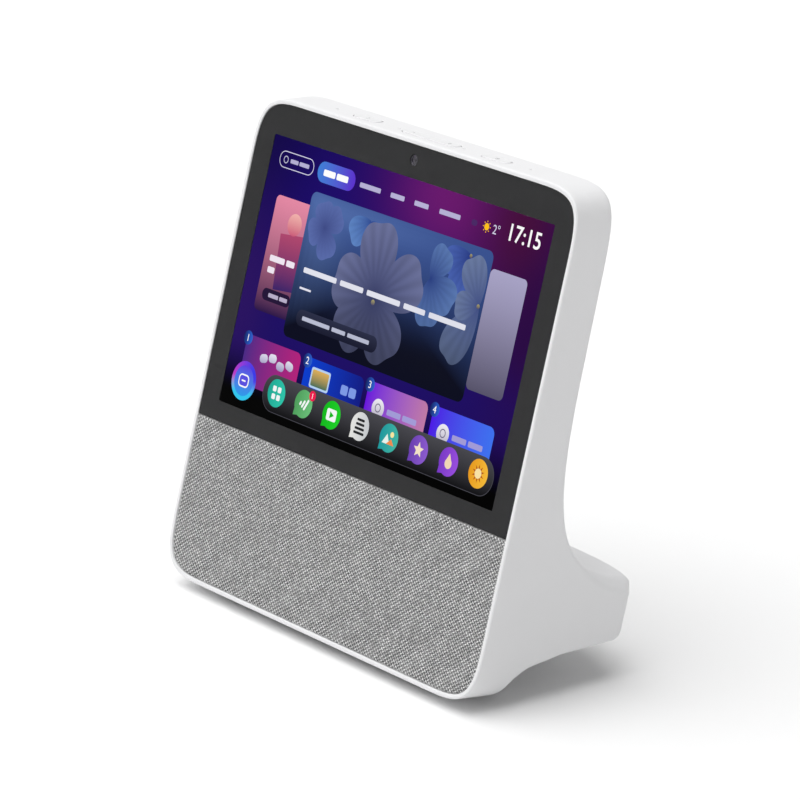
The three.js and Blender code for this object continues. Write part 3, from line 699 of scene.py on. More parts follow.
def row_cutters():
    width = 2 * MICROPHONE_HOLE
    slot, hole = eased_cut(GAP, 0.3, 0.25), eased_cut(0, 0.25, 0.2)
    cutters = [pill_solid("slot", length, KEY_WIDTH, slot, x) for x, length in KEYS.values()]
    cutters += [pill_solid("hole", width + 1e-4, width, hole, x) for x in MICROPHONE_X]
    return cutters


def pad_loop(half_x, half_y, middle, corner, height):
    """A rounded rectangle level with the table; height is a number or a function of y."""
    points = []
    for sx, sy, start in ((1, -1, -90), (1, 1, 0), (-1, 1, 90), (-1, -1, 180)):
        for turn in np.radians(np.linspace(start, start + 90, PAD_CORNER_STEPS + 1)):
            x = sx * (half_x - corner) + corner * math.cos(turn)
            y = middle + sy * (half_y - corner) + corner * math.sin(turn)
            points.append((x, y, height(y) if callable(height) else height))
    return np.array(points)


FRONT_FOOT_HALF = (70, 6)
FRONT_FOOT_MIDDLE = -20.5
FRONT_FOOT_CORNER = 5.5
FOOT_SUNK = 1.1
PLATE_FRONT = -9
PLATE_TOP = 5.2
RECESS_GAP = 0.2
BELOW_TABLE = -8  # cutters start here
SCREW_SPOTS = [(x, y) for y in (2, 25) for x in (-53.5, 53.5)]
JACK_Y = -84.5
JACK_HOLE = 4


def base_height(back, sunk=0):
    """Height above the table of the base's sloping bottom, moved up into it, at a distance back."""
    angle = math.atan2(SIN_TILT, COS_TILT) - math.atan(BASE_SLOPE)
    front_back, front_height = table_place(FACE_BOTTOM, 0)
    return front_height - (back - front_back) * math.tan(angle) + sunk / math.cos(angle)


def pad_middle(front, rear):
    return (front + rear) / 2, (rear - front) / 2


def front_foot_loop(grow, height):
    half_x, half_y = FRONT_FOOT_HALF
    return pad_loop(half_x + grow, half_y + grow, FRONT_FOOT_MIDDLE, FRONT_FOOT_CORNER + grow, height)


def underside_cutters():
    roof = front_foot_loop(GAP, lambda y: base_height(y, FOOT_SUNK + GAP))
    pocket = solid("pocket", *loft([front_foot_loop(GAP, BELOW_TABLE), roof]), TABLE)
    half_x = PEDESTAL_HALF.x - WALL + RECESS_GAP
    middle, half_y = pad_middle(PLATE_FRONT, PEDESTAL_MIDDLE + PEDESTAL_HALF.y - WALL + RECESS_GAP)
    corner = PEDESTAL_CORNER - WALL
    plate = [pad_loop(half_x, half_y, middle, corner, z) for z in (BELOW_TABLE, PLATE_TOP + 2 * GAP)]
    return [pocket, solid("recess", *loft(plate), TABLE)]


def round_solid(name, section, x, y, matrix, steps=48):
    """Discs of (radius, height) stacked along z and joined."""
    return solid(name, *loft([disc_loop(radius, z, x, y, steps) for radius, z in section]), matrix)


def rear_hole():
    """The hole for the power plug, eased at its mouth."""
    mouth = JACK_HOLE + 0.5
    section = [(JACK_HOLE, -70), (JACK_HOLE, -81.2), (mouth, -81.9), (mouth, -95)]
    return round_solid("jack_hole", section, 0, JACK_Y, FACE)


def build_housing(material):
    vertices, faces = housing_shell()
    vertices[:, 2] *= -1
    mesh = make_mesh("housing_shell", vertices, faces, FACE)
    make_outward(mesh)
    piece = add_object("housing_shell", mesh)
    combine(piece, merged("cutters", row_cutters() + underside_cutters() + [rear_hole()]), "DIFFERENCE")
    polish_normals(piece.data)
    return install(piece, material, replaces=("rear_housing",))


# ---- Materials ----


def new_tree(name):
    material = bpy.data.materials.new(name)
    material.use_nodes = True
    tree = material.node_tree
    tree.nodes.clear()
    output = tree.nodes.new("ShaderNodeOutputMaterial")
    return material, tree, output


def node(tree, kind, inputs=None, **settings):
    """Adds a shader node; inputs may be numbers, colours or other nodes' sockets."""
    made = tree.nodes.new("ShaderNode" + kind)
    for key, value in settings.items():
        setattr(made, key, value)
    for key, value in (inputs or {}).items():
        if isinstance(value, bpy.types.NodeSocket):
            tree.links.new(value, made.inputs[key])
        else:
            made.inputs[key].default_value = value
    return made


def noise(tree, size_mm, detail=4.0, roughness=0.55, stretch=None):
    """Noise whose features are about size_mm across."""
    place = node(tree, "TexCoord").outputs["Object"]
    if stretch:
        place = node(tree, "Mapping", {"Vector": place, "Scale": stretch}).outputs["Vector"]
    inputs = {"Vector": place, "Scale": 1 / (size_mm * MM), "Detail": detail, "Roughness": roughness}
    return node(tree, "TexNoise", inputs).outputs["Fac"]


def ramp(tree, value, low, high, low_at=0.3, high_at=0.7):
    inputs = {"Value": value, "From Min": low_at, "From Max": high_at, "To Min": low, "To Max": high}
    return node(tree, "MapRange", inputs).outputs["Result"]


def blend_colours(tree, share, first, second):
    return node(tree, "Mix", {"Factor": share, "A": first, "B": second}, data_type="RGBA").outputs["Result"]


def product(tree, first, second):
    return node(tree, "Math", {0: first, 1: second}, operation="MULTIPLY").outputs[0]


def grey(value):
    return (value, value, value, 1)


def grey_colour(tree, tone):
    return node(tree, "CombineColor", {"Red": tone, "Green": tone, "Blue": tone}).outputs["Color"]


def scaled(colour, factor, lift=0.0):
    return tuple(min(1, c * factor + lift) for c in colour[:3]) + (1,)


def bump(tree, height, distance_mm):
    inputs = {"Height": height, "Distance": distance_mm * MM, "Strength": 1.0}
    return node(tree, "Bump", inputs).outputs["Normal"]


def finish_principled(tree, output, **inputs):
    named = {key.replace("_", " ").title().replace("Ior", "IOR"): value for key, value in inputs.items()}
    shader = node(tree, "BsdfPrincipled", named)
    tree.links.new(shader.outputs["BSDF"], output.inputs["Surface"])


def moulded_plastic(name, colour, roughness, grain_mm=0.35, grain_height=0.012, tint=0.02):
    """Spark-eroded plastic: fine grain, faint clouding in colour and in gloss, convex edges a little lighter.
    """
    material, tree, output = new_tree(name)
    clouds = noise(tree, 28, 2)
    grain = noise(tree, grain_mm, 3, 0.6)
    base = blend_colours(tree, ramp(tree, clouds, 0, 1), scaled(colour, 1 - 2.5 * tint), colour)
    # Convex edges, found by pointiness, are made a little lighter in colour.
    lighter_edges = ramp(tree, node(tree, "NewGeometry").outputs["Pointiness"], 0, 0.35, 0.51, 0.56)
    base = blend_colours(tree, lighter_edges, base, scaled(colour, 1.04, 0.01))
    gloss = ramp(tree, noise(tree, 6, 3), roughness - 0.04, roughness + 0.04)
    finish_principled(
        tree, output, base_color=base, roughness=gloss, normal=bump(tree, grain, grain_height), ior=1.48
    )
    return material


STUDIO_LIGHT = 0.42


def clear_glass(name):
    """Thin cover glass: light passes straight through, and a painted reflection, a faint grey glow weighted
    by a Fresnel share, stands in for the even studio light mirrored in it.
    """
    material, tree, output = new_tree(name)
    clear = node(tree, "BsdfTransparent", {"Color": (0.988, 0.988, 0.988, 1)})
    mirror = node(tree, "Fresnel", {"IOR": 1.12}).outputs["Fac"]
    smears = ramp(tree, noise(tree, 14, 4), 0.9, 1.1)
    back = node(tree, "NewGeometry").outputs["Backfacing"]
    front = node(tree, "Math", {0: 1.0, 1: back}, operation="SUBTRACT").outputs[0]
    share = product(tree, product(tree, mirror, front), smears)
    # Painted reflection: this grey emission, not a mirror, shows the studio light in the glass; the smears
    # vary it a little.
    studio = node(tree, "Emission", {"Color": grey(STUDIO_LIGHT), "Strength": 0.4})
    both = node(tree, "MixShader", {0: share, 1: clear.outputs[0], 2: studio.outputs[0]})
    tree.links.new(both.outputs[0], output.inputs["Surface"])
    return material


def printed_ink(name, colour=(0.030, 0.030, 0.031, 1)):
    """Screen-printed ink with a faint mottle."""
    material, tree, output = new_tree(name)
    base = blend_colours(tree, noise(tree, 0.5, 3), colour, scaled(colour, 1.12))
    rough = ramp(tree, noise(tree, 2), 0.5, 0.6)
    finish_principled(tree, output, base_color=base, roughness=rough, specular_ior_level=0.08)
    return material


def melange(name):
    """Grey yarn: each length of thread has its own tone and fine fibres run over it; the gaps show the black
    backing, and painted shade darkens yarn that sinks below the crowns.
    """
    material, tree, output = new_tree(name)
    yarn = node(tree, "Attribute", attribute_name="yarn").outputs["Fac"]
    backing_and_shade = node(tree, "Attribute", attribute_name="backing_and_shade").outputs["Fac"]
    fibre = noise(tree, 0.12, 3, 0.7)
    clouds = noise(tree, 5, 3)
    tone = product(tree, ramp(tree, yarn, 0.50, 0.96, 0, 1), ramp(tree, fibre, 0.82, 1.14))
    tone = product(tree, tone, ramp(tree, clouds, 0.93, 1.07))
    # Near black by this share: the black backing in the gaps, and painted shade where the yarn sinks.
    base = blend_colours(tree, backing_and_shade, grey_colour(tree, tone), (0.004, 0.004, 0.005, 1))
    finish_principled(
        tree, output, base_color=base, roughness=0.92, sheen_weight=0.06, sheen_roughness=0.5,
        normal=bump(tree, fibre, 0.05)
    )
    return material


def rubber(name, colour):
    material, tree, output = new_tree(name)
    base = blend_colours(tree, noise(tree, 1.8, 4), colour, scaled(colour, 1.6, 0.004))
    grain = noise(tree, 0.25, 3, 0.7)
    rough = ramp(tree, noise(tree, 3), 0.75, 0.9)
    finish_principled(tree, output, base_color=base, roughness=rough, normal=bump(tree, grain, 0.03))
    return material


def sheet_metal(name, colour, roughness, brush=None):
    """Metal with rolling or brushing marks; brush stretches the marks along one axis."""
    material, tree, output = new_tree(name)
    marks = noise(tree, 0.5, 4, 0.6, brush)
    base = blend_colours(tree, marks, scaled(colour, 0.85), colour)
    rough = ramp(tree, marks, roughness - 0.07, roughness + 0.1)
    finish_principled(
        tree, output, base_color=base, metallic=1.0, roughness=rough, normal=bump(tree, marks, 0.006)
    )
    return material


def solder_mask(name):
    """Green board with copper tracks showing through as paler, raised lines."""
    material, tree, output = new_tree(name)
    place = node(tree, "TexCoord").outputs["Object"]
    tracks = node(tree, "TexBrick", {"Vector": place, "Scale": 220.0, "Mortar Size": 0.12}).outputs["Fac"]
    mottle = noise(tree, 4, 4)
    green = blend_colours(tree, mottle, (0.008, 0.07, 0.035, 1), (0.012, 0.10, 0.05, 1))
    base = blend_colours(tree, tracks, green, (0.03, 0.2, 0.09, 1))
    finish_principled(tree, output, base_color=base, roughness=0.32, normal=bump(tree, tracks, 0.02))
    return material


def flex_film(name):
    material, tree, output = new_tree(name)
    streaks = noise(tree, 0.8, 3, 0.6, (1, 0.05, 1))
    base = blend_colours(tree, streaks, (0.30, 0.12, 0.015, 1), (0.48, 0.23, 0.04, 1))
    finish_principled(tree, output, base_color=base, roughness=0.3, normal=bump(tree, streaks, 0.01))
    return material


def pressed_paper(name):
    material, tree, output = new_tree(name)
    fibres = noise(tree, 0.35, 6, 0.75)
    base = blend_colours(tree, fibres, (0.012, 0.012, 0.013, 1), (0.05, 0.05, 0.052, 1))
    finish_principled(tree, output, base_color=base, roughness=0.95, normal=bump(tree, fibres, 0.06))
    return material


def lens_coating(name):
    material, tree, output = new_tree(name)
    facing = node(tree, "LayerWeight", {"Blend": 0.5}).outputs["Facing"]
    tint = blend_colours(tree, facing, (0.006, 0.007, 0.012, 1), (0.05, 0.035, 0.07, 1))
    rough = ramp(tree, noise(tree, 1), 0.03, 0.08)
    finish_principled(tree, output, base_color=tint, roughness=rough, coat_weight=0.8, coat_roughness=0.04)
    return material


def dark_screen(name):
    material, tree, output = new_tree(name)
    film = noise(tree, 3, 3)
    base = blend_colours(tree, film, (0.004, 0.004, 0.006, 1), (0.008, 0.008, 0.012, 1))
    finish_principled(tree, output, base_color=base, roughness=ramp(tree, film, 0.15, 0.25))
    return material


def slot_materials():
    """One finished material for each slot of the record that a shown CAD node uses."""
    return {
        "housing_white": moulded_plastic("housing_white_grain", (0.80, 0.80, 0.81, 1), 0.5, tint=0.006),
        "key_white": moulded_plastic("key_white_grain", (0.79, 0.79, 0.80, 1), 0.46, 0.3, 0.01, 0.005),
        "foam_tape": rubber("foam", (0.012, 0.012, 0.013, 1)),
        "black_plastic": moulded_plastic("black_grain", (0.018, 0.018, 0.02, 1), 0.55, 0.4, 0.02),
        "screen": dark_screen("dark_screen"),
        "aluminium": sheet_metal("rolled_aluminium", (0.72, 0.73, 0.74, 1), 0.38, (0.04, 1, 1)),
        "thermal_grey": rubber("thermal_putty", (0.30, 0.31, 0.33, 1)),
        "steel": sheet_metal("nickel", (0.62, 0.62, 0.63, 1), 0.3),
        "circuit_board": solder_mask("green_board"),
        "flex_cable": flex_film("polyimide"),
        "lens_glass": lens_coating("coated_lens"),
        "dark_metal": sheet_metal("black_steel", (0.06, 0.06, 0.065, 1), 0.45),
        "speaker_paper": pressed_paper("cone_paper"),
        "black_rubber": rubber("black_rubber", (0.022, 0.022, 0.024, 1)),
        "base_grey": moulded_plastic("base_grey_grain", (0.42, 0.42, 0.43, 1), 0.6, 0.5, 0.03),
        "plunger_grey": moulded_plastic("plunger_grain", (0.26, 0.26, 0.28, 1), 0.5),
    }


def dress_cad_nodes(materials):
    """Gives every CAD node that still shows the finish of its own slot."""
    for cad_node in frame["nodes"].values():
        if cad_node.hide_render:
            continue
        for material_slot in cad_node.material_slots:
            material_slot.material = materials[material_slot.material.name]


# ---- Glass and its printed border ----

PANE_MARGIN = RIM + 0.08  # from the outline to the glass and the cloth
GLASS_FRONT = 0.05
GLASS_BACK = 0.4
PRINT_BACK = 1.36
CAMERA_Y = 60.5
CAMERA_RADIUS = 2.2
CAMERA_HOLE = 2.3
THROUGH = 4  # depth of a cutter that passes right through the border
SCREEN_HALF = np.array([86.1, 53.8])


def upper_outline(margin, cut):
    """The part of the face's outline above a level cut, anticlockwise, its new corners eased."""
    corner = 0.6
    points = outline_points(margin)
    points = points[points[:, 1] > cut + corner]
    right = HALF_WIDTH - margin - corner
    turns = np.linspace(0, math.pi / 2, 5)
    left_corner = np.stack([-right - corner * np.cos(turns), cut + corner - corner * np.sin(turns)], 1)
    right_corner = (left_corner * [-1, 1])[::-1]
    return np.concatenate([points, left_corner, right_corner])


def inset(loop, distance):
    """An anticlockwise loop moved inwards a little."""
    along = np.roll(loop, -1, axis=0) - np.roll(loop, 1, axis=0)
    normal = np.stack([-along[:, 1], along[:, 0]], 1)
    normal /= np.maximum(np.linalg.norm(normal, axis=1), 1e-9)[:, None]
    return loop + normal * distance


def rounded_rectangle(left, right, low, high, corner, steps=6):
    """Outline of a rectangle with round corners, anticlockwise from its right side."""
    left, right, low, high = left + corner, right - corner, low + corner, high - corner
    centres = ((right, high), (left, high), (left, low), (right, low))
    points = []
    for quarter, (x, y) in enumerate(centres):
        turns = np.radians(np.linspace(90 * quarter, 90 * quarter + 90, steps + 1))
        points.append(np.stack([x + corner * np.cos(turns), y + corner * np.sin(turns)], 1))
    return np.concatenate(points)


def circle(x, y, radius, steps=28):
    turns = np.arange(steps) * 2 * math.pi / steps
    return np.stack([x + radius * np.cos(turns), y + radius * np.sin(turns)], 1)


def flat_solid(name, loop, near, far, edge=0.0):
    """A flat outline made solid between two depths, its front edge rounded."""
    front = [(i, near + d) for i, d in arc(edge)] if edge else [(0, near)]
    return solid(name, *loft([raised(inset(loop, i), -depth) for i, depth in [(0, far)] + front]))


def build_glass():
    loop = upper_outline(PANE_MARGIN, GLASS_LOW[1])
    glass = flat_solid("cover_glass_pane", loop, GLASS_FRONT, GLASS_BACK, 0.22)
    shade(glass)
    install(glass, clear_glass("clear_glass"), replaces=("cover_glass",))

    border = flat_solid("printed_border", inset(loop, 0.05), GLASS_BACK + 0.01, PRINT_BACK)
    width, height = SCREEN_HALF
    holes = [
        flat_solid("window", rounded_rectangle(-width, width, -height, height, 0.6), 0, THROUGH),
        flat_solid("camera_hole", circle(0, CAMERA_Y, CAMERA_HOLE, 48), 0, THROUGH),
    ]
    combine(border, merged("holes", holes), "DIFFERENCE")
    install(border, printed_ink("charcoal_ink"))


def turned(name, profile, x, y, matrix=FACE, steps=48):
    """A profile of (radius, depth) turned about a line that runs straight back, closed at both ends."""
    piece = round_solid(name, [(radius, -depth) for radius, depth in profile], x, y, matrix, steps)
    shade(piece)
    return piece


def build_camera(materials):
    """A shallow dome sunk in a ring."""
    turns = np.linspace(0, math.pi / 2, 6)
    dome = [(0.15 + 1.15 * math.sin(t), 0.7 + 0.28 * (1 - math.cos(t))) for t in turns]
    ring = [(1.45, 1.0), (1.5, 0.7), (1.6, 0.62), (1.9, 0.62), (2.15, 0.7)]
    barrel = [(CAMERA_RADIUS, 0.9), (CAMERA_RADIUS, 2.7)]
    lens = turned("camera_eye", dome + ring + barrel, 0, CAMERA_Y)
    install(lens, materials["lens_glass"], replaces=("camera_lens",))


# ---- Grille cloth ----

WARP_TURN = math.radians(47.9)  # directions across the two sets of threads
WEFT_TURN = math.radians(-54.2)
WARP_PITCH = 1.22
WEFT_PITCH = 1.33
ACROSS_THREAD = np.array([0, 0.15, 0.26, 0.74, 0.85])  # where vertices lie, from one crown to the next
THREAD_HALF = 0.26
PIT_DEPTH = 0.05
SHADE_REACH = 0.01  # how far below the highest crowns the yarn still gets full light
SHADE_GAIN = 2.1
CLOTH_ROLL = 0.7  # radius at which the cloth turns back round its carrier
CLOTH_FRONT = 0.5
CLOTH_BACK = 1.25
CROWN = 0.15  # height of a thread's round above its edges
WAVE = 0.07  # how far threads rise and dip at crossings


def thread_round(offset):
    """1 on a thread's crown, 0 in the gap beside it."""
    return np.sqrt(np.maximum(1 - (offset / THREAD_HALF) ** 2, 0))


def weave(u, v):
    """Height of a plain weave, how shaded it is and each crossing's own tone; u and v count threads."""
    warp, weft = np.round(u), np.round(v)
    round_warp, round_weft = thread_round(u - warp), thread_round(v - weft)
    first = CROWN * round_warp + WAVE * np.cos(math.pi * (warp + v))
    second = CROWN * round_weft - WAVE * np.cos(math.pi * (weft + u))
    on_warp = first > second
    height = np.where(np.maximum(round_warp, round_weft) < 0.05, -PIT_DEPTH, np.maximum(first, second))
    crossing = np.where(on_warp, warp * 7.31 + weft * 2.17, weft * 3.77 + warp * 5.03 + 0.5)
    tone = np.abs(np.sin(crossing * 12.9898) * 43758.5453) % 1
    # Painted shade: the deeper the yarn lies below the crowns, the darker it is painted.
    sunk = 1 - (height + SHADE_REACH) / (CROWN + WAVE)
    return height, np.clip(SHADE_GAIN * sunk, 0, 1), tone


def thread_lattice(right, low, high):
    """Vertices that follow the threads over a rectangle: x, y and the thread counts u and v."""
    sets = ((WARP_TURN, WARP_PITCH), (WEFT_TURN, WEFT_PITCH))
    to_threads = np.array([[math.cos(turn) / pitch, math.sin(turn) / pitch] for turn, pitch in sets])
    reach = np.array([(x, y) for x in (-right, right) for y in (low, high)]) @ to_threads.T
    lines = []
    for first, last in zip(reach.min(0), reach.max(0)):
        threads = np.arange(math.floor(first), math.ceil(last) + 1)
        lines.append((threads[:, None] + ACROSS_THREAD).ravel())
    u, v = np.meshgrid(*lines, indexing="ij")
    x, y = np.tensordot(np.linalg.inv(to_threads), np.stack([u, v]), 1)
    drift = 0.12 * np.sin(x * 0.31 + 1.7 * np.sin(y * 0.23))
    return x + drift, y + 0.1 * np.sin(y * 0.47 + x * 0.17), u, v


def cloth_field(x, y):
    return round_common(outline_field(x, y) + PANE_MARGIN, y - FABRIC_HIGH[1], 0.8)


def build_cloth():
    right = HALF_WIDTH - PANE_MARGIN
    lattice = thread_lattice(right, FACE_BOTTOM + PANE_MARGIN, FABRIC_HIGH[1])
    number = np.arange(lattice[0].size).reshape(lattice[0].shape)
    x, y, u, v = (part.ravel() for part in lattice)
    edge = cloth_field(x, y)
    quads = np.stack([number[:-1, :-1], number[1:, :-1], number[1:, 1:], number[:-1, 1:]], 2).reshape(-1, 4)
    quads = quads[(edge[quads] < 0.12).all(1)]
    used, quads = np.unique(quads, return_inverse=True)
    quads = quads.reshape(-1, 4)
    x, y, u, v = (part[used] for part in (x, y, u, v))
    border = open_edges(quads)
    rim = np.unique(border)
    step = 0.05
    for _ in range(SETTLE_ROUNDS):
        value = cloth_field(x[rim], y[rim])
        sx = (cloth_field(x[rim] + step, y[rim]) - value) / step
        sy = (cloth_field(x[rim], y[rim] + step) - value) / step
        x[rim] -= value * sx
        y[rim] -= value * sy
    edge = np.minimum(cloth_field(x, y), 0)
    turn_back = np.clip(1 + edge / CLOTH_ROLL, 0, 1)
    height, shaded, flecks = weave(u, v)
    front = CLOTH_FRONT - height * (1 - turn_back**4)
    depth = front + CLOTH_ROLL * (1 - np.sqrt(np.maximum(1 - turn_back**2, 0)))
    depth[rim] = CLOTH_BACK

    hub = len(x)
    vertices = np.stack([x, swept(y, depth), -depth], 1)
    vertices = np.concatenate([vertices, [[0, (FACE_BOTTOM + SEAM) / 2, -CLOTH_BACK]]])
    back = [(int(b), int(a), hub) for a, b in border]
    cloth = add_object("grille_cloth", make_mesh("grille_cloth", vertices, quads.tolist() + back))
    make_outward(cloth.data)
    shade(cloth, 60)
    crowded = 0.9 + 0.1 * np.sin(x * 0.9 + 2.2 * np.sin(y * 0.7)) * np.sin(y * 1.1 + 1.9 * np.sin(x * 0.6))
    # Share of near black: the black backing in the gaps, and painted shade on yarn that sinks below the
    # crowns.
    backing_and_shade = shaded * crowded * (0.84 + 0.16 * flecks) * (1 - turn_back**4)
    for name, values in (("yarn", np.append(flecks, 0.5)), ("backing_and_shade", np.append(backing_and_shade, 0))):
        attribute = cloth.data.attributes.new(name, "FLOAT", "POINT")
        attribute.data.foreach_set("value", values.astype(np.float32))
    install(cloth, melange("grey_melange"), replaces=("grille_fabric",))


# ---- Keys ----

FLANGE_TOP = -WALL - GAP
FLANGE_BOTTOM = FLANGE_TOP - 0.9
PIN_Y = -4.8
PIN_HOLE = 0.8


def in_row(loop, height, x):
    """A flat outline laid on the key row at a height."""
    return np.stack([x + loop[:, 0], np.full(len(loop), height), -loop[:, 1]], 1)


def row_box(name, half_x, low, high, half_z, x=0):
    """A block in the key row's frame with eased edges."""
    edge = 0.12
    section = [(edge, low), (0, low + edge), (0, high - edge), (edge, high)]
    loops = []
    for inward, height in section:
        loop = rounded_rectangle(-half_x + inward, half_x - inward, -half_z + inward, half_z - inward, 0.3, 3)
        loops.append(in_row(loop, height, x))
    return solid(name, *loft(loops), ROW)


def key_section(bottom):
    """Straight sides, a rounded top edge and a faint dish."""
    radius = 0.4
    top_edge = [(i, KEY_PROUD - radius + (radius - d)) for i, d in arc(radius, 5)]
    return [(0, bottom), (0, -0.6)] + top_edge + [(0.9, KEY_PROUD - 0.03), (1.7, KEY_PROUD - 0.06)]


def build_short_key(node_name, material, marks):
    x, length = KEYS[node_name]
    key = pill_solid(node_name + "_cap", length, KEY_WIDTH, key_section(FLANGE_TOP - 0.4), x)
    flange = row_box("flange", length / 2 + 1.2, FLANGE_BOTTOM, FLANGE_TOP, KEY_WIDTH / 2 - 0.3, x)
    combine(key, flange, "UNION")
    shade(key)
    install(key, material, node_name, (node_name,))
    add_marks(node_name, marks, x)


def build_rocker(material, marks):
    length = KEYS["volume_rocker"][1]
    key = pill_solid("volume_rocker_cap", length, KEY_WIDTH, key_section(FLANGE_BOTTOM))
    lug = row_box("lug", 1.8, PIN_Y - 1.3, FLANGE_TOP, 1.1)
    combine(key, lug, "UNION")
    along_pin = ROW @ Matrix.Translation((0, PIN_Y, 0))
    hole = turned("pin_hole", [(PIN_HOLE, -2), (PIN_HOLE, 2)], 0, 0, along_pin, 24)
    combine(key, hole, "DIFFERENCE")
    shade(key)
    install(key, material, "volume_rocker", ("volume_rocker",))
    add_marks("volume_rocker", marks, 0)


def add_marks(body, loops, x):
    """Small printed signs on a key's top; loops are flat outlines in x and z."""
    floor = KEY_PROUD - 0.08
    parts = []
    for loop in loops:
        layers = [in_row(loop, height, x) for height in (floor, floor + 0.06)]
        parts.append(solid("mark", *loft(layers), ROW))
    install(merged(body + "_marks", parts), printed_ink("pale_ink", (0.42, 0.42, 0.43, 1)), body)


def bar(x, y, half_length, half_width, turn=0.0):
    """A round-ended bar's outline."""
    loop = rounded_rectangle(-half_length, half_length, -half_width, half_width, half_width * 0.98, 5)
    c, s = math.cos(turn), math.sin(turn)
    return np.stack([x + c * loop[:, 0] - s * loop[:, 1], y + s * loop[:, 0] + c * loop[:, 1]], 1)


def ring_bars(x, y, radius, half_width):
    """A ring drawn as short bars end to end."""
    count = 12
    half = radius * math.tan(math.pi / count) + 0.02
    bars = []
    for turn in np.arange(count) * 2 * math.pi / count:
        place = (x + radius * math.cos(turn), y + radius * math.sin(turn))
        bars.append(bar(*place, half, half_width, turn + math.pi / 2))
    return bars


def build_keys(material):
    build_short_key("mic_key", material, [bar(0, 0.35, 0.45, 0.32, math.pi / 2), bar(0, -0.75, 0.5, 0.1)])
    build_short_key("camera_key", material, ring_bars(0, 0, 0.75, 0.1) + [circle(0, 0, 0.3, 16)])
    reach, half, stroke = 11, 0.85, 0.13
    minus = bar(-reach, 0, half, stroke)
    plus = [bar(reach, 0, half, stroke)]
    plus += [bar(reach, y, 0.36, stroke, math.pi / 2) for y in (0.49, -0.49)]
    build_rocker(material, [minus] + plus)


# ---- Underside and power input ----

REAR_FEET = {"rear_foot_left": -42, "rear_foot_right": 42}
REAR_FOOT_Y = 31
REAR_FOOT_RADIUS = 6.5
REAR_FOOT_TOP = 3


SOLE_EDGE = ((0.9, 0), (0.3, 0.15), (0, 0.5))  # inset and height of a foot's rounded lower edge


def install_foot(name, loops, material):
    foot = solid(name + "_pad", *loft(loops), TABLE)
    shade(foot)
    install(foot, material, replaces=(name,))


def build_feet(material):
    for name, x in REAR_FEET.items():
        section = [(REAR_FOOT_RADIUS - inward, height) for inward, height in SOLE_EDGE]
        section += [(REAR_FOOT_RADIUS, REAR_FOOT_TOP - 0.2), (REAR_FOOT_RADIUS - 0.2, REAR_FOOT_TOP)]
        install_foot(name, [disc_loop(radius, z, x, REAR_FOOT_Y, 48) for radius, z in section], material)
    loops = [front_foot_loop(-inward, height) for inward, height in SOLE_EDGE]
    loops.append(front_foot_loop(0, lambda y: base_height(y, FOOT_SUNK)))
    install_foot("front_foot", loops, material)


def build_plate(material):
    rear = PEDESTAL_MIDDLE + PEDESTAL_HALF.y - WALL - GAP
    middle, half_y = pad_middle(PLATE_FRONT + GAP, rear)
    half_x = PEDESTAL_HALF.x - WALL - GAP
    corner = PEDESTAL_CORNER - WALL - GAP
    lower_edge = [(i, PEDESTAL_BOTTOM + z) for i, z in ((0.5, 0), (0.15, 0.15), (0, 0.5))]
    section = lower_edge + [(0, PLATE_TOP)]
    loops = [pad_loop(half_x - i, half_y - i, middle, corner - i, z) for i, z in section]
    plate = solid("base_plate_cover", *loft(loops), TABLE)
    counterbore = [(3.3, -1), (3.3, 2.2), (3, 2.6), (3, 4.2), (1.6, 4.2), (1.6, 8)]
    pocket = [(REAR_FOOT_RADIUS + GAP, -1), (REAR_FOOT_RADIUS + GAP, REAR_FOOT_TOP + GAP)]
    cutters = [round_solid("screw_hole", counterbore, x, y, TABLE, 32) for x, y in SCREW_SPOTS]
    cutters += [round_solid("foot_pocket", pocket, x, REAR_FOOT_Y, TABLE) for x in REAR_FEET.values()]
    combine(plate, merged("plate_cutters", cutters), "DIFFERENCE")
    shade(plate)
    install(plate, material, replaces=("base_plate",))


def build_jack(materials):
    """A block with a round nose, a bore and a centre pin; profiles are (radius, depth)."""
    half = 5
    loop = rounded_rectangle(-half, half, JACK_Y - half, JACK_Y + half, 0.5, 3)
    body = flat_solid("dc_jack_body", loop, 63.5, 78.9)
    nose = turned("nose", [(3.6, 78), (3.6, 81.3), (3.3, 81.6)], 0, JACK_Y)
    bore = turned("bore", [(2.75, 70), (2.75, 81.4), (3.05, 81.7), (3.05, 84)], 0, JACK_Y)
    combine(body, nose, "UNION")
    combine(body, bore, "DIFFERENCE")
    pin = turned("pin", [(0.95, 69), (0.95, 79.9), (0.7, 80.4)], 0, JACK_Y, steps=24)
    combine(body, pin, "UNION")
    shade(body)
    install(body, materials["black_plastic"], replaces=("dc_jack",))


# ---- Picture on the screen: thin lit shapes stacked in front of the panel ----

PICTURE_DEPTH = 0.68
LAYER_STEP = 0.026
LAYER_THICKNESS = 0.016


def lit(code):
    """Linear colour of a six-digit sRGB code."""
    parts = np.array([int(code[k : k + 2], 16) / 255 for k in (0, 2, 4)])
    return np.where(parts <= 0.04045, parts / 12.92, ((parts + 0.055) / 1.055) ** 2.4)


def mix(first, second, share):
    share = np.clip(np.asarray(share, float), 0, 1)[..., None]
    return first * (1 - share) + second * share


def upright(low_y, high_y, low_code, high_code):
    """Colour that changes up the face."""
    return lambda x, y: mix(lit(low_code), lit(high_code), (y - low_y) / (high_y - low_y))


def across(left_x, right_x, left_code, right_code):
    return lambda x, y: mix(lit(left_code), lit(right_code), (x - left_x) / (right_x - left_x))


def plain(code):
    return lambda x, y: np.repeat(lit(code)[None], len(x), 0)


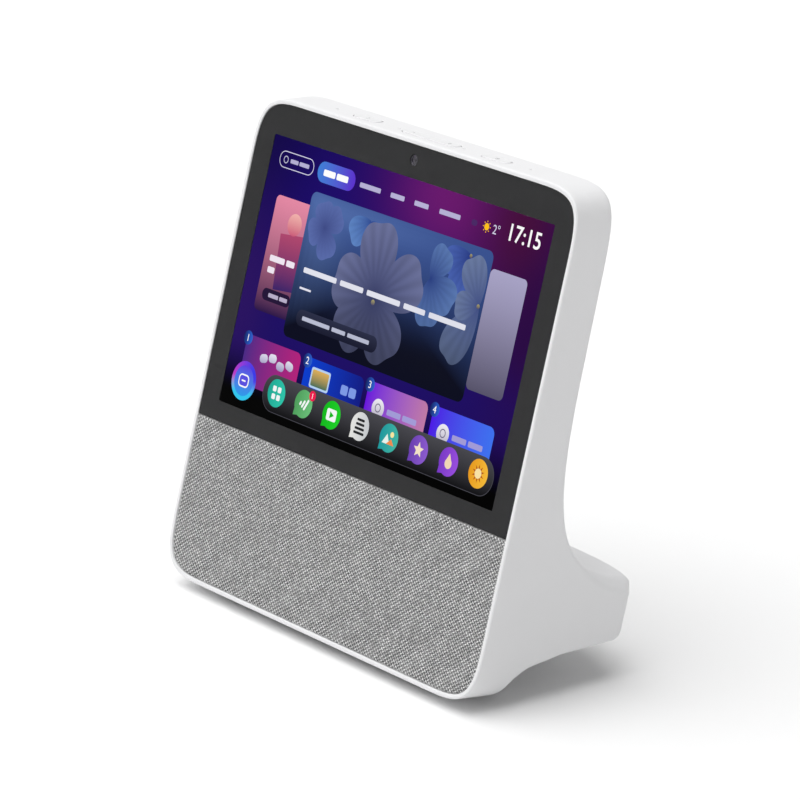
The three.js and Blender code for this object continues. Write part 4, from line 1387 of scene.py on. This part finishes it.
class Picture:
    """Gathers flat lit shapes into one mesh whose vertices carry their colours."""

    def __init__(self, name):
        self.name = name
        self.vertices, self.faces, self.colours = [], [], []
        self.count = 0

    def add(self, loop, layer, colour, rings=1, hub=None):
        """A flat shape as rings of points that shrink towards its hub."""
        depth = PICTURE_DEPTH - layer * LAYER_STEP
        hub = loop.mean(0) if hub is None else np.array(hub, float)
        shares = np.linspace(1, 0, rings + 1)[:-1]
        flat = [hub + (loop - hub) * share for share in shares]
        heights = [depth] + [depth - LAYER_THICKNESS] * rings
        points = [raised(p, -z) for p, z in zip([loop] + flat, heights)]
        points.append(np.array([[*hub, LAYER_THICKNESS - depth]]))
        points = np.concatenate(points)
        size, first = len(loop), self.count
        faces = quad_strips(first, rings + 1, size)
        last = first + rings * size
        centre = first + len(points) - 1
        faces += [[last + k, last + (k + 1) % size, centre] for k in range(size)]
        faces.append(list(range(first, first + size))[::-1])
        self.vertices.append(points)
        self.faces += faces
        self.colours.append(colour(points[:, 0], points[:, 1]))
        self.count += len(points)

    def add_text(self, text, x, y, height, layer, colour, bold=0.0):
        """Numerals set in Blender's own font, centred on a point."""
        curve = bpy.data.curves.new("numerals", "FONT")
        curve.body = text
        curve.size = height / 0.72
        curve.align_x, curve.align_y = "CENTER", "CENTER"
        curve.extrude = LAYER_THICKNESS / 2
        curve.offset = bold
        curve.resolution_u = 3
        holder = bpy.data.objects.new("numerals", curve)
        mesh = bpy.data.meshes.new_from_object(holder)
        points = np.array([v.co for v in mesh.vertices])
        middle = (points.min(0) + points.max(0)) / 2
        depth = PICTURE_DEPTH - layer * LAYER_STEP
        points = points - middle + [x, y, LAYER_THICKNESS / 2 - depth]
        self.vertices.append(points)
        self.faces += [[self.count + v for v in p.vertices] for p in mesh.polygons]
        self.colours.append(colour(points[:, 0], points[:, 1]))
        self.count += len(points)
        bpy.data.objects.remove(holder)

    def finish(self, material):
        mesh = make_mesh(self.name, np.concatenate(self.vertices), self.faces)
        attribute = mesh.attributes.new("light", "FLOAT_COLOR", "POINT")
        colours = np.concatenate(self.colours)
        rgba = np.concatenate([colours, np.ones((len(colours), 1))], 1)
        attribute.data.foreach_set("color", rgba.ravel().astype(np.float32))
        install(add_object(self.name, mesh), material)


def glowing(name):
    """Light from the vertices' colours, a touch uneven, as a backlight is."""
    material, tree, output = new_tree(name)
    colour = node(tree, "Attribute", attribute_name="light").outputs["Color"]
    strength = ramp(tree, noise(tree, 40, 1), 0.97, 1.03)
    shader = node(tree, "Emission", {"Color": colour, "Strength": strength})
    tree.links.new(shader.outputs[0], output.inputs["Surface"])
    return material


# Glows over the backdrop: x, y, reach across, reach up, colour, strength.
GLOWS = (
    (-78, 50, 40, 30, "0b0433", 0.9),
    (-40, 30, 45, 40, "1c0a6e", 0.8),
    (26, 52, 34, 26, "6c1a70", 1.0),
    (70, 50, 26, 34, "4c1038", 0.9),
    (84, 10, 20, 40, "2c0a3e", 0.8),
    (0, -18, 90, 14, "1e0f68", 0.8),
    (-84, -8, 14, 34, "2e1460", 0.7),
)


def backdrop_colour(x, y):
    colour = np.repeat(lit("1d0a5c")[None], len(x), 0)
    for gx, gy, wide, tall, code, strength in GLOWS:
        share = strength * np.exp(-(((x - gx) / wide) ** 2) - ((y - gy) / tall) ** 2)
        colour = mix(colour, lit(code), share)
    return mix(np.zeros(3) + 0.0005, colour, smoothstep(y, -48, -26))


def build_backdrop(material):
    picture = Picture("screen_backdrop")
    width, height = SCREEN_HALF
    loop = rounded_rectangle(-width, width, -height, height, 0.4, 2)
    fine = []
    for a, b in zip(loop, np.roll(loop, -1, axis=0)):
        fine += [[a], fill(a, b, 2.0)]
    picture.add(np.concatenate(fine), 0, backdrop_colour, 40, (0, 0))
    picture.finish(material)


def word_bars(picture, x, y, lengths, half_height, layer, code, gap=0.9):
    """A line of bars in place of words."""
    for length in lengths:
        loop = rounded_rectangle(x, x + length, y - half_height, y + half_height, 0.45 * half_height, 3)
        picture.add(loop, layer, plain(code))
        x += length + gap


MENU_Y = 45.4  # middle of the menu's pills
NAV_Y = 45.25  # middle of its plain words
NAV_WORDS = ((-28.5, 13), (-9.25, 8.5), (5.5, 8.5), (20.75, 12.5))  # left end and length
SUN_X = 49


def build_top_line(picture):
    outline_pill = bar(-69.3, MENU_Y, 11.1, 3.3)
    picture.add(outline_pill, 1, plain("d9d6ee"))
    picture.add(inset(outline_pill, 0.32), 2, backdrop_colour)
    for part in ring_bars(-76.2, MENU_Y, 1.3, 0.18):
        picture.add(part, 3, plain("c9c6e2"))
    word_bars(picture, -73.2, MENU_Y, (5.0, 6.2), 0.8, 3, "b4b0d4", 0.8)
    pill = bar(-43.6, MENU_Y, 11.9, 4.1)
    picture.add(pill, 2, across(-55.5, -33, "3f7fd6", "5c34cf"), 4)
    word_bars(picture, -51.6, 45.3, (7.4, 7.2), 1.25, 3, "ffffff", 0.9)
    for x, length in NAV_WORDS:
        word_bars(picture, x, NAV_Y, (length,), 0.95, 3, "b9b4d8")
    picture.add(bar(41.7, NAV_Y, 1.7, 1.1), 3, plain("4b2a66"))
    picture.add(circle(SUN_X, NAV_Y, 1.35), 3, plain("ffc21a"))
    for k in range(8):
        turn = k * math.pi / 4
        place = (SUN_X + 2.0 * math.cos(turn), NAV_Y + 2.0 * math.sin(turn))
        picture.add(bar(*place, 0.3, 0.2, turn), 3, plain("ffb400"))
    picture.add_text("2°", 54.7, 45.3, 3.6, 3, plain("d6d2ea"))
    picture.add_text("17:15", 71.4, 46.1, 6.5, 3, plain("ffffff"), 0.1)


def petal(x, y, turn, length, width):
    """Outline of a petal that widens away from the flower's middle."""
    t = np.arange(56) * 2 * math.pi / 56
    along = length * (0.5 - 0.5 * np.cos(t))
    side = width * np.sin(t) * np.sqrt(0.12 + 0.88 * along / length)
    along = along - 0.06 * length * np.exp(-((t - math.pi) / 0.35) ** 2)
    c, s = math.cos(turn), math.sin(turn)
    return np.stack([x + c * along - s * side, y + s * along + c * side], 1)


def petal_colour(x0, y0, turn, length, inner, outer, veins=0.10):
    """Darker at the heart, paler at the tip, with fine veins that spread from the heart."""
    def colour(x, y):
        dx, dy = x - x0, y - y0
        reach = np.sqrt(dx * dx + dy * dy) / length
        angle = np.arctan2(dy, dx) - turn
        streak = veins * np.sin(26 * np.sin(angle)) * smoothstep(reach, 0.15, 0.5)
        shade_down = 0.35 + 0.65 * smoothstep(y, -20, 16)
        return mix(lit(inner), lit(outer), reach**0.8) * ((1 + streak) * shade_down)[:, None]
    return colour


def add_petal(picture, x, y, degrees, length, width, layer, inner, outer, veins=0.10):
    turn = math.radians(degrees)
    loop = petal(x, y, turn, length, width)
    hub = (x + 0.55 * length * math.cos(turn), y + 0.55 * length * math.sin(turn))
    picture.add(loop, layer, petal_colour(x, y, turn, length, inner, outer, veins), 14, hub)


# Petals by flower: x, y, [(degrees, length, width)], layer, heart and tip colours, veins.
FLOWERS = (
    (-44, 25, ((35, 12, 7), (110, 10.5, 7), (205, 10.5, 7), (295, 13, 7.5)), 4, "3e4a86", "5a6cab", 0.02),
    (44, 33, ((200, 16, 7), (250, 18, 8), (300, 12, 6)), 4, "24357e", "4c66b4", 0.05),
    (-17, 33, ((215, 14, 7.5), (325, 13, 6.5)), 4, "2c4690", "5f86c4", 0.05),
    (54, 16, ((118, 20, 9), (190, 14, 7), (240, 27, 10)), 5, "3e4c82", "69799e", 0.07),
    (24, 20, ((62, 15, 8), (335, 18, 9), (280, 19, 9)), 5, "283c80", "5a78b0", 0.06),
    (-6, 6, ((100, 30, 14), (28, 30, 14), (172, 27, 14), (232, 27, 13), (305, 27, 14)),
     7, "363c66", "6a7098", 0.09),
)


MAIN_CARD = (-55.75, 56.5, -20.25, 37.25)  # left, right, low, high
CARDS_LEFT, CARDS_RIGHT = -77, 78
SIDE_CARD_LOW, SIDE_CARD_HIGH = -14.4, 31
SIDE_CARD_CORNER = 2.2
CARD_CORNER = 3


def build_side_cards(picture):
    side = rounded_rectangle(MAIN_CARD[1], CARDS_RIGHT, SIDE_CARD_LOW, 31.25, SIDE_CARD_CORNER)
    picture.add(side, 1, upright(SIDE_CARD_LOW, SIDE_CARD_HIGH, "57536a", "aaa5c8"), 8)
    left = rounded_rectangle(CARDS_LEFT, -52, SIDE_CARD_LOW, 31.5, SIDE_CARD_CORNER)
    picture.add(left, 1, upright(SIDE_CARD_LOW, SIDE_CARD_HIGH, "2b1648", "e58aa5"), 8)
    picture.add(circle(-62.5, 22, 4.4), 2, upright(17, 27, "c84f74", "f4b7b0"), 3)
    picture.add(bar(-61.5, 7, 3.4, 11, 0.1), 2, upright(-4, 18, "3a2468", "b0486e"), 4)
    word_bars(picture, -73.4, 6.9, (9.6, 5.2), 1.2, 3, "f0e6f2", 1.2)
    word_bars(picture, -73.4, 2.3, (4.4,), 1.2, 3, "f0e6f2")
    picture.add(bar(-64.5, -7.3, 9, 2.4), 3, plain("251638"))
    word_bars(picture, -69.5, -7.3, (6.4, 5.0), 0.8, 4, "b9afca", 0.8)


def build_cards(picture):
    build_side_cards(picture)
    picture.add(rounded_rectangle(*MAIN_CARD, CARD_CORNER), 3, card_colour, 16, (0, 10))
    for x, y, petals, layer, heart, tip, veins in FLOWERS:
        for k, (degrees, length, width) in enumerate(petals):
            place = layer + (0.5 if k % 2 else 0)
            add_petal(picture, x, y, degrees, length, width, place, heart, tip, veins)
    for x, y, radius in ((-6, 4, 1.1), (54, 16, 0.9), (44, 33, 0.8)):
        picture.add(circle(x, y, radius), 8, upright(y - radius, y + radius, "4a4468", "a8a06a"), 2)
    word_bars(picture, -51, 6.9, (21, 14.5, 20.5, 13, 22), 1.05, 9, "e2e3ee", 2.4)
    word_bars(picture, -51.2, -0.25, (7.2,), 0.4, 9, "e4e4f0")
    picture.add(bar(-23.9, -11.25, 25.6, 3.2), 8.6, upright(-14, -8, "1a1c30", "2c3048"), 2)
    word_bars(picture, -45.75, -11.2, (17.5, 8.5, 13.5), 0.8, 9, "b9bdd2", 1.5)


def card_colour(x, y):
    colour = mix(lit("0b0d20"), lit("3a5290"), smoothstep(y, -12, 34))
    colour = mix(colour, lit("5f7dbb"), 0.6 * np.exp(-(((x + 46) / 16) ** 2) - ((y - 30) / 12) ** 2))
    return mix(colour, lit("11131f"), 0.75 * np.exp(-(((x - 20) / 30) ** 2) - ((y + 14) / 9) ** 2))


# Left, right, and the colours of the left and right ends.
LOWER_CARDS = (
    (CARDS_LEFT, -41.4, "4a2a86", "b5237c"),
    (-38, -1.1, "0a3fd0", "131c84"),
    (1.75, 38.4, "6a12e0", "c07aa6"),
    (41.5, CARDS_RIGHT, "4d18e6", "3f73f2"),
)


def build_lower_cards(picture):
    for k, (left, right, first, second) in enumerate(LOWER_CARDS):
        loop = rounded_rectangle(left, right, -44, -24.5, CARD_CORNER)
        picture.add(loop, 1, across(left, right, first, second), 5)
        x, y, radius = left + 0.8, -26, 2.8
        picture.add(circle(x, y, radius), 3, across(x - radius, x + radius, "14205a", "2f62d0"), 2)
        picture.add_text(str(k + 1), x, y, 2.9, 4, plain("ffffff"))
    for x in (9.9, 49.6):
        picture.add(circle(x, -33.6, 3.7), 2, upright(-37, -30, "b9b4c8", "f2f0f6"), 2)
        for part in ring_bars(x, -33.4, 1.5, 0.22):
            picture.add(part, 3, plain("6a6480"))
        word_bars(picture, x + 5.6, -33.6, (8.4, 8.4), 1.1, 2, "a39cd8", 1.2)
    for k, (x, y) in enumerate(((-64, -31.6), (-58.5, -30.4), (-53, -32.4), (-47.5, -31))):
        picture.add(bar(x, y, 2.5, 1.7, 0.2 - 0.15 * k), 2, upright(-35, -28, "8d84b8", "f0edf8"))
    left, right, low, high, border = -33.5, -21.5, -35.5, -27.5, 0.8
    view = rounded_rectangle(left + border, right - border, low + border, high - border, 0.7)
    picture.add(rounded_rectangle(left, right, low, high, 1), 2, plain("b8d4f4"))
    picture.add(view, 3, upright(-35, -28, "2c6a58", "e3b35c"), 2)
    word_bars(picture, -14, -31.8, (4.3, 4.3), 1.9, 2, "7f9be8", 0.8)


# Dock icons: x, left and right colours, whether it has a tail, and its sign.
DOCK_Y = -42.6
DOCK_RADIUS = 5.5
DOCK_ICONS = (
    (-51.6, "1fa894", "2fc9ae", False, "squares"),
    (-34, "4f9e5c", "6cc07a", True, "waves"),
    (-16, "12b81c", "1fd42a", True, "play"),
    (2, "e8e8e4", "c8ccd0", True, "stripes"),
    (20.1, "1d9aa0", "42b6a4", True, "hills"),
    (38.25, "6a3fb0", "8d5cd0", True, "star"),
    (56.4, "7a3ac8", "9a4fe0", True, "drop"),
    (74, "e89a1c", "f8bd3a", False, "sun"),
)


def star(x, y, radius, points=5):
    turns = math.pi / 2 + np.arange(2 * points) * math.pi / points
    reach = np.where(np.arange(2 * points) % 2, 0.45, 1.0) * radius
    return np.stack([x + reach * np.cos(turns), y + reach * np.sin(turns)], 1)


def triangle(x, y, *offsets):
    return np.array([(x + dx, y + dy) for dx, dy in offsets])


def add_sign(picture, sign, x, y, layer):
    """A plain sign of simple shapes."""
    white = plain("f6fafa")
    if sign == "squares":
        for dx in (-1.55, 1.55):
            for dy in (-1.55, 1.55):
                loop = rounded_rectangle(x + dx - 1.1, x + dx + 1.1, y + dy - 1.1, y + dy + 1.1, 0.5, 3)
                picture.add(loop, layer, white)
    elif sign == "waves":
        for k in range(3):
            picture.add(bar(x - 1.8 + 1.8 * k, y, 0.9 + 0.8 * k, 0.5, 1.1), layer, white)
    elif sign == "play":
        picture.add(rounded_rectangle(x - 3, x + 3, y - 2.3, y + 2.3, 0.8, 3), layer, white)
        picture.add(triangle(x, y, (-1, -1.4), (1.6, 0), (-1, 1.4)), layer + 1, plain("16b820"))
    elif sign == "stripes":
        for k in range(4):
            picture.add(bar(x, y - 2.6 + 1.7 * k, 3.2 - 0.3 * k, 0.5), layer, plain("27292c"))
    elif sign == "hills":
        picture.add(circle(x + 1.6, y + 1.6, 1.1, 16), layer, plain("fbe9a0"))
        picture.add(triangle(x, y, (-3.6, -2.4), (1, -2.4), (-1.2, 1.4)), layer + 1, plain("e9f6ee"))
        picture.add(triangle(x, y, (-1, -2.4), (3.6, -2.4), (1.6, -0.1)), layer + 2, plain("f08a4c"))
    elif sign == "star":
        picture.add(star(x, y, 3.1), layer, plain("f6e4c8"))
    elif sign == "drop":
        picture.add(circle(x, y - 0.7, 2.0, 20), layer, plain("f4d8b8"))
        picture.add(triangle(x, y, (-1.6, 0.3), (1.6, 0.3), (0, 3.2)), layer + 1, plain("f4d8b8"))
    elif sign == "sun":
        picture.add(star(x, y, 3.6, 10), layer, plain("b0521a"))
        picture.add(circle(x, y, 1.9, 20), layer + 1, plain("fbe3a6"))


DOCK_TRAY = (-60, 82.75, -50.25, -36)  # left, right, low, high


def build_dock(picture):
    tray = rounded_rectangle(*DOCK_TRAY, 7.0, 10)
    picture.add(inset(tray, -0.25), 5, plain("4a4a52"))
    picture.add(tray, 6, upright(-50, -36, "131316", "48484e"), 6)
    for x, first, second, tailed, sign in DOCK_ICONS:
        colour = across(x - DOCK_RADIUS, x + DOCK_RADIUS, first, second)
        if tailed:
            tail = triangle(x, DOCK_Y, (-5.2, -5.3), (-1.0, -4.6), (-4.9, -1.4))
            picture.add(tail, 7, colour)
        picture.add(circle(x, DOCK_Y, DOCK_RADIUS, 40), 7.6, colour, 3)
        add_sign(picture, sign, x, DOCK_Y, 8.4)
    badge = (-29.5, -38.4)
    picture.add(circle(*badge, 2.0), 9, plain("ee1c50"))
    picture.add_text("1", *badge, 2.2, 10, plain("ffffff"))


def build_round_button(picture):
    x, y, radius = -73.25, -42.75, 7.75

    def colour(px, py):
        """Turns from pink on the left to blue on the right, and to cyan at the bottom."""
        angle = np.arctan2(py - y, px - x)
        base = mix(lit("c83cc0"), lit("3c3ce8"), 0.5 + 0.5 * np.cos(angle - 0.6))
        return mix(base, lit("34c8f0"), np.clip(0.2 - 1.2 * np.sin(angle), 0, 1))

    picture.add(circle(x, y, radius, 48), 7, colour, 6)
    picture.add(circle(x, y, radius * 0.78, 48), 7.8, upright(y - 6, y + 6, "2f9cec", "5f3fe0"), 3)
    frame_loop = rounded_rectangle(x - 3.3, x + 3.3, y - 2.6, y + 2.6, 1.9, 5)
    picture.add(frame_loop, 8.5, plain("ffffff"))
    picture.add(inset(frame_loop, 0.6), 9.1, plain("5a50e0"))
    picture.add(bar(x, y, 1.3, 0.32), 9.8, plain("ffffff"))


def build_screen():
    material = glowing("screen_light")
    build_backdrop(material)
    for name, build in (
        ("screen_top_line", build_top_line),
        ("screen_cards", build_cards),
        ("screen_lower_cards", build_lower_cards),
        ("screen_dock", build_dock),
        ("screen_round_button", build_round_button),
    ):
        picture = Picture(name)
        build(picture)
        picture.finish(material)


# ---- Stage, light and camera ----

CAMERA_SPOT = Vector((1339.0, 203.6, 1114.1))  # in the face frame
CAMERA_AIM = Vector((22.3, -27.3, 0))  # the point of the face in the middle of the picture
LENS = 208.7
FLOOR_HALF = 9.0  # metres
SUN_DIRECTION = (0.22, 0.26, -1)
SUN_STRENGTH = 2.75
SUN_WIDTH = 80  # degrees


def add_floor():
    material, tree, output = new_tree("floor_paint")
    tone = ramp(tree, noise(tree, 400, 2), 0.88, 0.9)
    grain = bump(tree, noise(tree, 3), 0.01)
    finish_principled(tree, output, base_color=grey_colour(tree, tone), roughness=0.7, normal=grain)
    corners = [(x * FLOOR_HALF, y * FLOOR_HALF, 0) for x, y in ((-1, -1), (1, -1), (1, 1), (-1, 1))]
    mesh = bpy.data.meshes.new("floor")
    mesh.from_pydata(corners, [], [(0, 1, 2, 3)])
    mesh.materials.append(material)
    add_object("floor", mesh)


def add_sun():
    """A distant lamp as wide as a large overhead softbox."""
    light = bpy.data.lights.new("softbox", "SUN")
    light.energy = SUN_STRENGTH
    light.angle = math.radians(SUN_WIDTH)
    lamp = bpy.data.objects.new("softbox", light)
    lamp.rotation_euler = Vector(SUN_DIRECTION).to_track_quat("-Z", "Y").to_euler()
    bpy.context.scene.collection.objects.link(lamp)


def light_room(strength):
    """White light from all round, weaker from the object's right."""
    world = bpy.data.worlds.new("studio")
    world.use_nodes = True
    tree = world.node_tree
    direction = node(tree, "TexCoord").outputs["Generated"]
    rightwards = node(tree, "SeparateXYZ", {0: direction}).outputs["X"]
    background = tree.nodes["Background"]
    background.inputs["Color"].default_value = (1, 1, 1, 1)
    level = ramp(tree, rightwards, 1.15 * strength, 0.7 * strength, -1, 1)
    tree.links.new(level, background.inputs["Strength"])
    bpy.context.scene.world = world


def add_camera():
    data = bpy.data.cameras.new("camera")
    data.lens = LENS
    data.sensor_width = 36
    data.clip_end = 50
    camera = bpy.data.objects.new("camera", data)
    camera.location = FACE @ CAMERA_SPOT
    camera.rotation_euler = (FACE @ CAMERA_AIM - camera.location).to_track_quat("-Z", "Y").to_euler()
    bpy.context.scene.collection.objects.link(camera)
    bpy.context.scene.camera = camera


def set_stage():
    add_floor()
    light_room(STUDIO_LIGHT)
    add_sun()
    add_camera()
    bpy.context.scene.view_settings.view_transform = "Standard"


# ---- The whole object ----

finishes = slot_materials()
build_housing(finishes["housing_white"])
build_glass()
build_camera(finishes)
build_cloth()
build_keys(finishes["key_white"])
build_feet(finishes["black_rubber"])
build_plate(finishes["base_grey"])
build_jack(finishes)
build_screen()
dress_cad_nodes(finishes)
set_stage()
